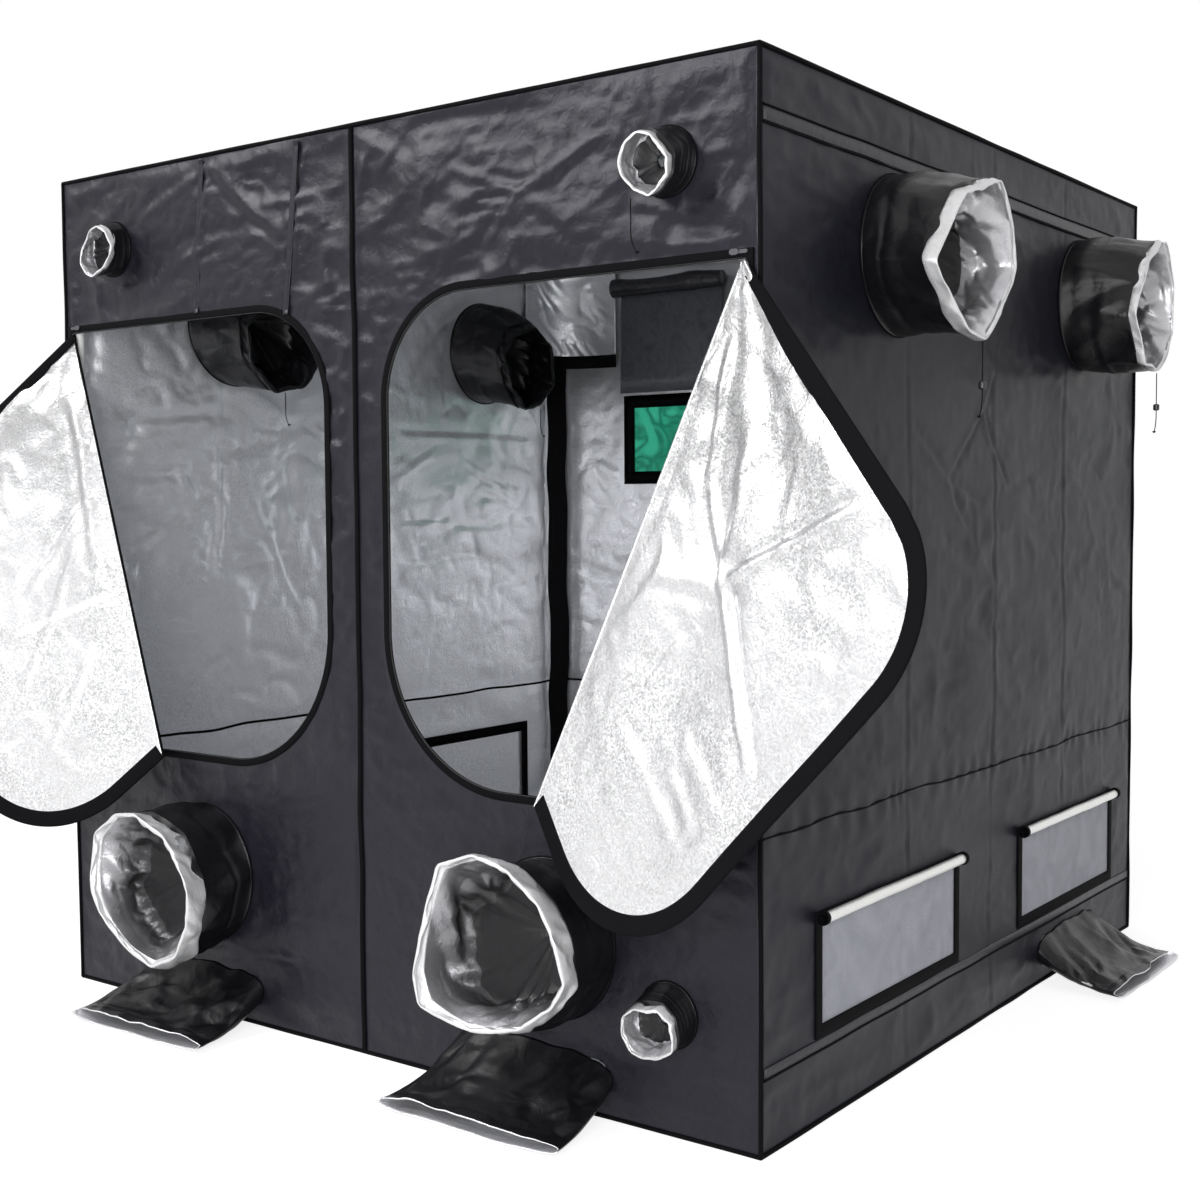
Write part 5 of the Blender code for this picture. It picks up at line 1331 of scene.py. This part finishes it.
def sock_skin(name, wall, middle, seed):
    """One closed skin over a floor sock: out along its black outside and back along its lining.

    In section it is wide and flat: the width times the cosine to the power 0.55, and the height
    times the sine to the power 0.8. Height falls as the square of what is left of its length.
    """
    angles = 2 * np.pi * (np.arange(SOCK_COLUMNS) + 0.5) / SOCK_COLUMNS
    shares = np.concatenate([np.linspace(0.0, 1.0, SOCK_ROWS), [1.004, 1.0],
                             np.linspace(0.96, 0.0, SOCK_LINING_ROWS)])
    steps = np.concatenate([np.zeros(SOCK_ROWS), [-0.0015, -0.003], np.full(SOCK_LINING_ROWS, -0.0032)])
    share, angle = np.meshgrid(shares, angles, indexing="ij")
    step = np.broadcast_to(steps[:, None], share.shape)
    ease = (1.0 - np.minimum(share, 1.0)) ** 2
    high = SOCK_MOUTH_HIGH + (SOCK_ROOT_HIGH - SOCK_MOUTH_HIGH) * ease
    low = SOCK_LIFT + (SOCK_ROOT_LOW - SOCK_LIFT) * ease
    half_wide = (SOCK_WIDE + (SOCK_MOUTH_WIDE - SOCK_WIDE) * share) / 2 + step
    across = np.sign(np.cos(angle)) * np.abs(np.cos(angle)) ** 0.55 * half_wide
    up = np.sign(np.sin(angle)) * np.abs(np.sin(angle)) ** 0.8 * (high / 2 + step)
    sign = np.sign(up)
    run = share * SOCK_LENGTH
    field = 0.7 * facets(across + 0.3 * sign, 0.5 * run, 0.055, seed)
    field += 0.4 * facets(across, run, 0.028, seed + 5)
    pulls = np.sin(46.0 * across + 5.0 * share + seed) * (1 - share) - 0.5 * ridge(share - HEM_SHARE, 0.02)
    lift = np.where(up > 0.0, smooth_step(up, 0.0, 0.012), 0.25)
    strain = 0.4 + 0.6 * np.sin(np.pi * np.clip(share, 0.0, 1.0))
    up = up + sign * lift * strain * (0.015 * field + 0.0030 * pulls)
    level_ = np.maximum(low + high / 2 + up, SOCK_LIFT * 0.6)
    ripple = 0.006 * share * noise(across, 0 * across, 0.09, seed + 11)
    uneven = 1.0 + 0.7 * noise(across, 0 * across, 0.07, seed + 13)
    set_back = SOCK_LIP * share ** 4 * smooth_step(up, -0.002, 0.004) * uneven
    points = wall.place(middle + across, level_, share * SOCK_LENGTH + ripple - set_back + ROOT_LIFT)
    total = len(shares)
    cells = grid_quads(total, SOCK_COLUMNS, wrap_rows=True, wrap_columns=True)
    row = np.repeat(np.arange(total), SOCK_COLUMNS)
    slots = np.where(row < SOCK_ROWS - 1, 0, 1)
    span = np.stack([across, run], axis=-1).reshape(-1, 2)
    piece = new_piece(name, points, [cells], [sleeve_cloth, sock_silver], slots=slots, maps=[span[cells]])
    settle(piece, instead=name)


sock_skin("floor_sock_front_left", front, SOCK_PLACES["front_left"], 900)
sock_skin("floor_sock_front_right", front, SOCK_PLACES["front_right"], 920)
sock_skin("floor_sock_right", right, SOCK_PLACES["right"], 940)

# Vents: light grey insect mesh in the right wall, bound in black, under covers of silvered cloth
# that are rolled up and held at the top edge.
MESH_PITCH = 0.0035
VENT_BINDING = 0.026
ROLL_CORE = 0.0035
ROLL_PITCH = 0.0042
ROLL_SHEET = 0.002
ROLL_TURNS = 2.25
COVER_HEM = 0.005
COVER_POINTS = 120
ROLL_POINTS = 64
TAIL_POINTS = 8
RIM_LENGTH = 0.010
RIM_RISE = 0.0015
RIM_SIDES = 28
RIM_STEPS = 4
BINDING_INSET = 0.010
HOLE_FACES = {"": (0.0003, 0.003), "_inside": (-0.0035, -0.003)}


def mesh_finish():
    """Woven insect mesh: two rows of thread in the sheet's plane, pale over painted shade in the gaps, under
    a painted sheen in patches of noise.
    """
    made, tree, shader = new_finish("vent_mesh", (0.55, 0.57, 0.60), 0.6)
    yarn = maths(tree, "MAXIMUM", *threads(tree, parts_of(tree, own_place(tree)), "YZ", MESH_PITCH))
    # Painted sheen: slow noise makes patches of the mesh paler.
    pale = maths(tree, "MULTIPLY_ADD", speckle(tree, 9.0, 4.0, 1.5), 1.6, -0.8)
    tone = maths(tree, "ADD", yarn, pale)
    shade_by(tree, shader, tone, -0.4, 1.2, ((0.26, 0.27, 0.32), (0.62, 0.63, 0.69)))
    raise_by(tree, shader, [(yarn, 0.0005, 0.8)])
    return made


vent_mesh = mesh_finish()
cover_cloth = silver_finish("cover_silver", (0.80, 0.80, 0.78), 0.45, 0.03, 0.0015, spread=0.1)


def roll_profile(direction, tail):
    """Closed outline of a rolled sheet: a spiral whose radius grows with its turn, and a straight tail."""
    turn_ = ROLL_TURNS * np.linspace(0.0, 1.0, ROLL_POINTS)
    angle = np.pi + direction * 2 * np.pi * (ROLL_TURNS - turn_)
    radius = ROLL_CORE + ROLL_PITCH * turn_
    outer = np.stack([radius * np.cos(angle), radius * np.sin(angle)], axis=1)
    inner_ = np.stack([(radius - ROLL_SHEET) * np.cos(angle), (radius - ROLL_SHEET) * np.sin(angle)], axis=1)
    steps = np.linspace(0.0, direction * tail, TAIL_POINTS)[1:]
    outer = np.concatenate([outer, np.stack([np.full_like(steps, outer[-1, 0]), steps], axis=1)])
    inner_ = np.concatenate([inner_, np.stack([np.full_like(steps, inner_[-1, 0]), steps], axis=1)])
    return np.concatenate([outer, inner_[::-1]])


def bind_hole(name, end, wall, hole, inset, wide):
    """Webbing round a hole on both faces of its wall; its inset reaches over the hole's edge."""
    for face, (lift, thick) in HOLE_FACES.items():
        bound_edge(f"{name}{face}{end}", wall, hole, strip_profile(-inset, wide - inset, thick), webbing,
                   lift=lift)


roll_radius = ROLL_CORE + ROLL_PITCH * ROLL_TURNS
for end, (low, high) in vents.items():
    coat(f"vent_mesh_{end}", vent_mesh)
    bind_hole("vent_binding", f"_{end}", right, square_hole(low.y, high.y, low.z, high.z), BINDING_INSET,
              VENT_BINDING)
    cover_low, cover_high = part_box(f"vent_cover_{end}")
    along = np.linspace(cover_low.y, cover_high.y, COVER_POINTS)
    middle_x = half_side + HOLE_FACES[""][0] + roll_radius
    middle_z = high.z + roll_radius / 2
    sag = 0.0012 * noise(along, 0 * along, 0.11, 960)
    path = np.stack([np.full_like(along, middle_x), along, middle_z + sag], axis=1)
    swell = 1.0 + 0.05 * noise(along, 0 * along, 0.05, 961)[:, None]
    roll = carried(f"vent_cover_{end}", path, swell * (1.0, 0.0, 0.0), swell * (0.0, 0.0, 1.0),
                   roll_profile(1, COVER_HEM), cover_cloth)
    settle(roll, instead=f"vent_cover_{end}")
    for side, start in (("near", cover_low.y), ("far", cover_high.y - RIM_LENGTH)):
        rim = np.linspace(start, start + RIM_LENGTH, RIM_STEPS)
        path = np.stack([np.full_like(rim, middle_x), rim, np.full_like(rim, middle_z)], axis=1)
        cap = carried(f"vent_cover_{end}_{side}_rim", path, (1.0, 0.0, 0.0), (0.0, 0.0, 1.0),
                      ring(roll_radius + RIM_RISE, RIM_SIDES), webbing)
        settle(cap)

# Window: clear green film in the back wall, bound in black, with a blackout cover of dark film
# that hangs inside from a roll under the roof.
WINDOW_BINDING = 0.036
WINDOW_INSET = 0.008
COVER_TAIL = 0.030
BUNDLE = 0.026
BUNDLE_POINTS = 60
BUNDLE_SIDES = 24
HANG_POINTS = 90


def film_finish():
    """Green plastic film: it lets green light through, is painted darker along its creases as painted
    shade, and slow noise ripples it."""
    made, tree, shader = new_finish("green_film", (0.05, 0.42, 0.27), 0.16, Transmission_Weight=0.9, IOR=1.2)
    fold = creased(tree, bent_noise(tree, 0.13, 11.0, 1.0))
    # Painted shade: the film's colour darkens along its creases.
    shade_by(tree, shader, fold, 0.86, 1.0, ((0.036, 0.38, 0.24), (0.010, 0.17, 0.10)))
    raise_by(tree, shader, [(speckle(tree, 22.0, 3.0), 0.020, 0.9)])
    return made


coat("window_film", film_finish())
bind_hole("window_binding", "", back, window_hole, WINDOW_INSET, WINDOW_BINDING)
blackout = cloth_finish("blackout_film", (0.012, 0.012, 0.015), 0.26, 0.05, Specular_IOR_Level=0.6)
smoke_film = cloth_finish("smoke_film", (0.050, 0.053, 0.060), 0.32, 0.05, 0.06, Specular_IOR_Level=0.5)
cover_low, cover_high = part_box("window_cover")
along = np.linspace(cover_low.x, cover_high.x, HANG_POINTS)
path = np.stack([along, np.full_like(along, cover_high.y - roll_radius),
                 np.full_like(along, cover_high.z - roll_radius)], axis=1)
profile = roll_profile(-1, cover_high.z - roll_radius - cover_low.z + COVER_TAIL)
cover = carried("window_cover", path, (0.0, -1.0, 0.0), (0.0, 0.0, 1.0), profile * (-1.0, 1.0), smoke_film)
settle(cover, instead="window_cover")
points = np.empty(len(cover.data.vertices) * 3, np.float32)
cover.data.vertices.foreach_get("co", points)
points = points.reshape(-1, 3)
hanging = smooth_step(cover_high.z - 0.03 - points[:, 2], 0.0, 0.05)
points[:, 1] -= hanging * (0.008 + 0.005 * facets(points[:, 0], points[:, 2], 0.11, 970)
                           + 0.003 * facets(points[:, 0], points[:, 2], 0.045, 971))
cover.data.vertices.foreach_set("co", points.ravel())
cover.data.update()

bundle_run = np.linspace(cover_low.x - 0.02, cover_high.x + 0.01, BUNDLE_POINTS)
bundle_path = np.stack([bundle_run, np.full_like(bundle_run, cover_low.y - BUNDLE + 0.004),
                        cover_high.z - 0.018 + 0.003 * noise(bundle_run, 0 * bundle_run, 0.1, 975)], axis=1)
swell = (1.0 + 0.12 * noise(bundle_run, 0 * bundle_run, 0.06, 976))[:, None]
bundle = carried("window_cover_bundle", bundle_path, swell * (0.0, 1.0, 0.0), swell * (0.0, 0.0, 1.0),
                 [(a * 0.9, b * 1.1) for a, b in ring(BUNDLE, BUNDLE_SIDES)], blackout)
settle(bundle)

# Inside trim: a drape of lining across the rear left corner under the roof, bound in black along
# its lower edge, a black strap down that corner over the upright, and a bound vent in the left wall.
INSIDE = -0.0040
DRAPE_LOW = 1.68
DRAPE_ROWS = 40
DRAPE_POINTS = 120
VENT_EDGE = (-0.008, 0.018)
DRAPE_PLAN = ((-0.986, 0.80), (-0.972, 0.975), (-0.745, 0.982))
BAND = 0.042
STRAP_PLAN = ((-0.990, 0.918), (-0.938, 0.956))

first, middle, last = (np.array(spot) for spot in DRAPE_PLAN)
share = np.linspace(0.0, 1.0, DRAPE_POINTS)[:, None]
plan = first * (1 - share) ** 2 + middle * 2 * share * (1 - share) + last * share ** 2
along = run_lengths(np.column_stack([plan, np.zeros(len(plan))]))
drape_top = sheet_high - 0.012
spots, levels = np.meshgrid(np.arange(len(along)), np.linspace(DRAPE_LOW, drape_top, DRAPE_ROWS),
                            indexing="ij")
hang = 0.0060 * facets(along[spots] + 0.7 * levels, levels, 0.10, 980)
hang = hang + 0.0022 * crumple(along[spots] + 0.7 * levels, levels, 0.04, 981)
points = np.stack([plan[spots, 0] + 0.7 * hang, plan[spots, 1] - hang, levels], axis=-1).reshape(-1, 3)
cells = grid_quads(len(along), DRAPE_ROWS)[:, ::-1]
span = np.stack([along[spots], levels], axis=-1).reshape(-1, 2)
drape = new_piece("corner_drape", points, cells, [silver_lining], maps=span[cells], solid=False)
add_lining(drape)
settle(drape)
level_run = np.column_stack([plan, np.full(len(along), DRAPE_LOW)])
hem = carried("corner_drape_hem", level_run, (0.0, 0.0, 1.0), (0.4, -0.9, 0.0),
              [(-BAND / 2, -0.004), (-BAND / 2, 0.010), (BAND / 2, 0.010), (BAND / 2, -0.004)], webbing)
settle(hem)
strap_ends = np.array(STRAP_PLAN)
strap_middle = strap_ends.mean(axis=0)
strap_side = strap_ends[1] - strap_ends[0]
strap_wide = np.linalg.norm(strap_side)
straight_strip("corner_strap", (*strap_middle, 0.01), (*strap_middle, DRAPE_LOW),
               (*(strap_side / strap_wide), 0.0),
               (strap_side[1] / strap_wide, -strap_side[0] / strap_wide, 0.0),
               strip_profile(-strap_wide / 2, strap_wide / 2, 0.004), webbing, 0.006, 151)
for face, lift, thick in (("inner", INSIDE, -0.003), ("outer", 0.0004, 0.003)):
    bound_edge(f"left_vent_{face}", left, square_hole(*LEFT_VENT), strip_profile(*VENT_EDGE, thick),
               webbing, lift=lift)

# Studio: a plain pale floor and soft lamps, none of them part of the tent.
FLOOR_REACH = 30.0
FLOOR_DROP = 0.0006
FLOOR_GLOW = 0.80
AIR_LIGHT = 0.38


def seen_rays(tree):
    """1 for rays from the camera, off mirrors and through film, and 0 for the rest."""
    rays = add_node(tree, "LightPath").outputs
    seen = maths(tree, "MAXIMUM", rays["Is Camera Ray"], rays["Is Glossy Ray"])
    return maths(tree, "MAXIMUM", seen, rays["Is Transmission Ray"])


def stage_finish():
    """Floor: plain matt grey that glows for the seen rays, so that it meets the white air."""
    made, tree, shader = new_finish("studio_floor", (0.50, 0.50, 0.50), 0.9, Specular_IOR_Level=0.1)
    glow = maths(tree, "MULTIPLY", seen_rays(tree), FLOOR_GLOW)
    shader.inputs["Emission Color"].default_value = (1.0, 1.0, 1.0, 1.0)
    tree.links.new(glow, shader.inputs["Emission Strength"])
    return made


corners = [(-1, -1), (1, -1), (1, 1), (-1, 1)]
ground = new_piece("studio_floor", [(a * FLOOR_REACH, b * FLOOR_REACH, -FLOOR_DROP) for a, b in corners],
                   np.array([[0, 1, 2, 3]]), [stage_finish()], solid=False)
world = bpy.data.worlds.new("studio_air")
scene.world = world
world.use_nodes = True
tree = world.node_tree
air = tree.nodes["Background"]
air.inputs["Color"].default_value = (1.0, 1.0, 1.0, 1.0)
lit = add_node(tree, "MapRange", {"Value": seen_rays(tree), "To Min": AIR_LIGHT, "To Max": 1.0})
tree.links.new(lit.outputs["Result"], air.inputs["Strength"])


def lamp(name, place, aim, size, power):
    """Square soft light at a place, turned to its aim."""
    made = bpy.data.lights.new(name, "AREA")
    made.size = size
    made.energy = power
    holder = bpy.data.objects.new(name, made)
    scene.collection.objects.link(holder)
    away = np.array(place, float) - np.array(aim, float)
    away /= np.linalg.norm(away)
    side = np.cross((0.0, 0.0, 1.0), away)
    side /= np.linalg.norm(side)
    turned = np.eye(4)
    turned[:3, 0] = side
    turned[:3, 1] = np.cross(away, side)
    turned[:3, 2] = away
    turned[:3, 3] = place
    holder.matrix_world = Matrix(turned)


lamp("key", (-3.0, -4.2, 4.8), (0.0, -0.8, 1.5), 1.5, 210.0)
lamp("door_light", (2.6, -5.4, 1.5), (0.0, 0.0, 1.0), 2.2, 210.0)
lamp("fill", (6.0, -0.5, 3.0), (1.0, 0.0, 1.0), 3.0, 10.0)
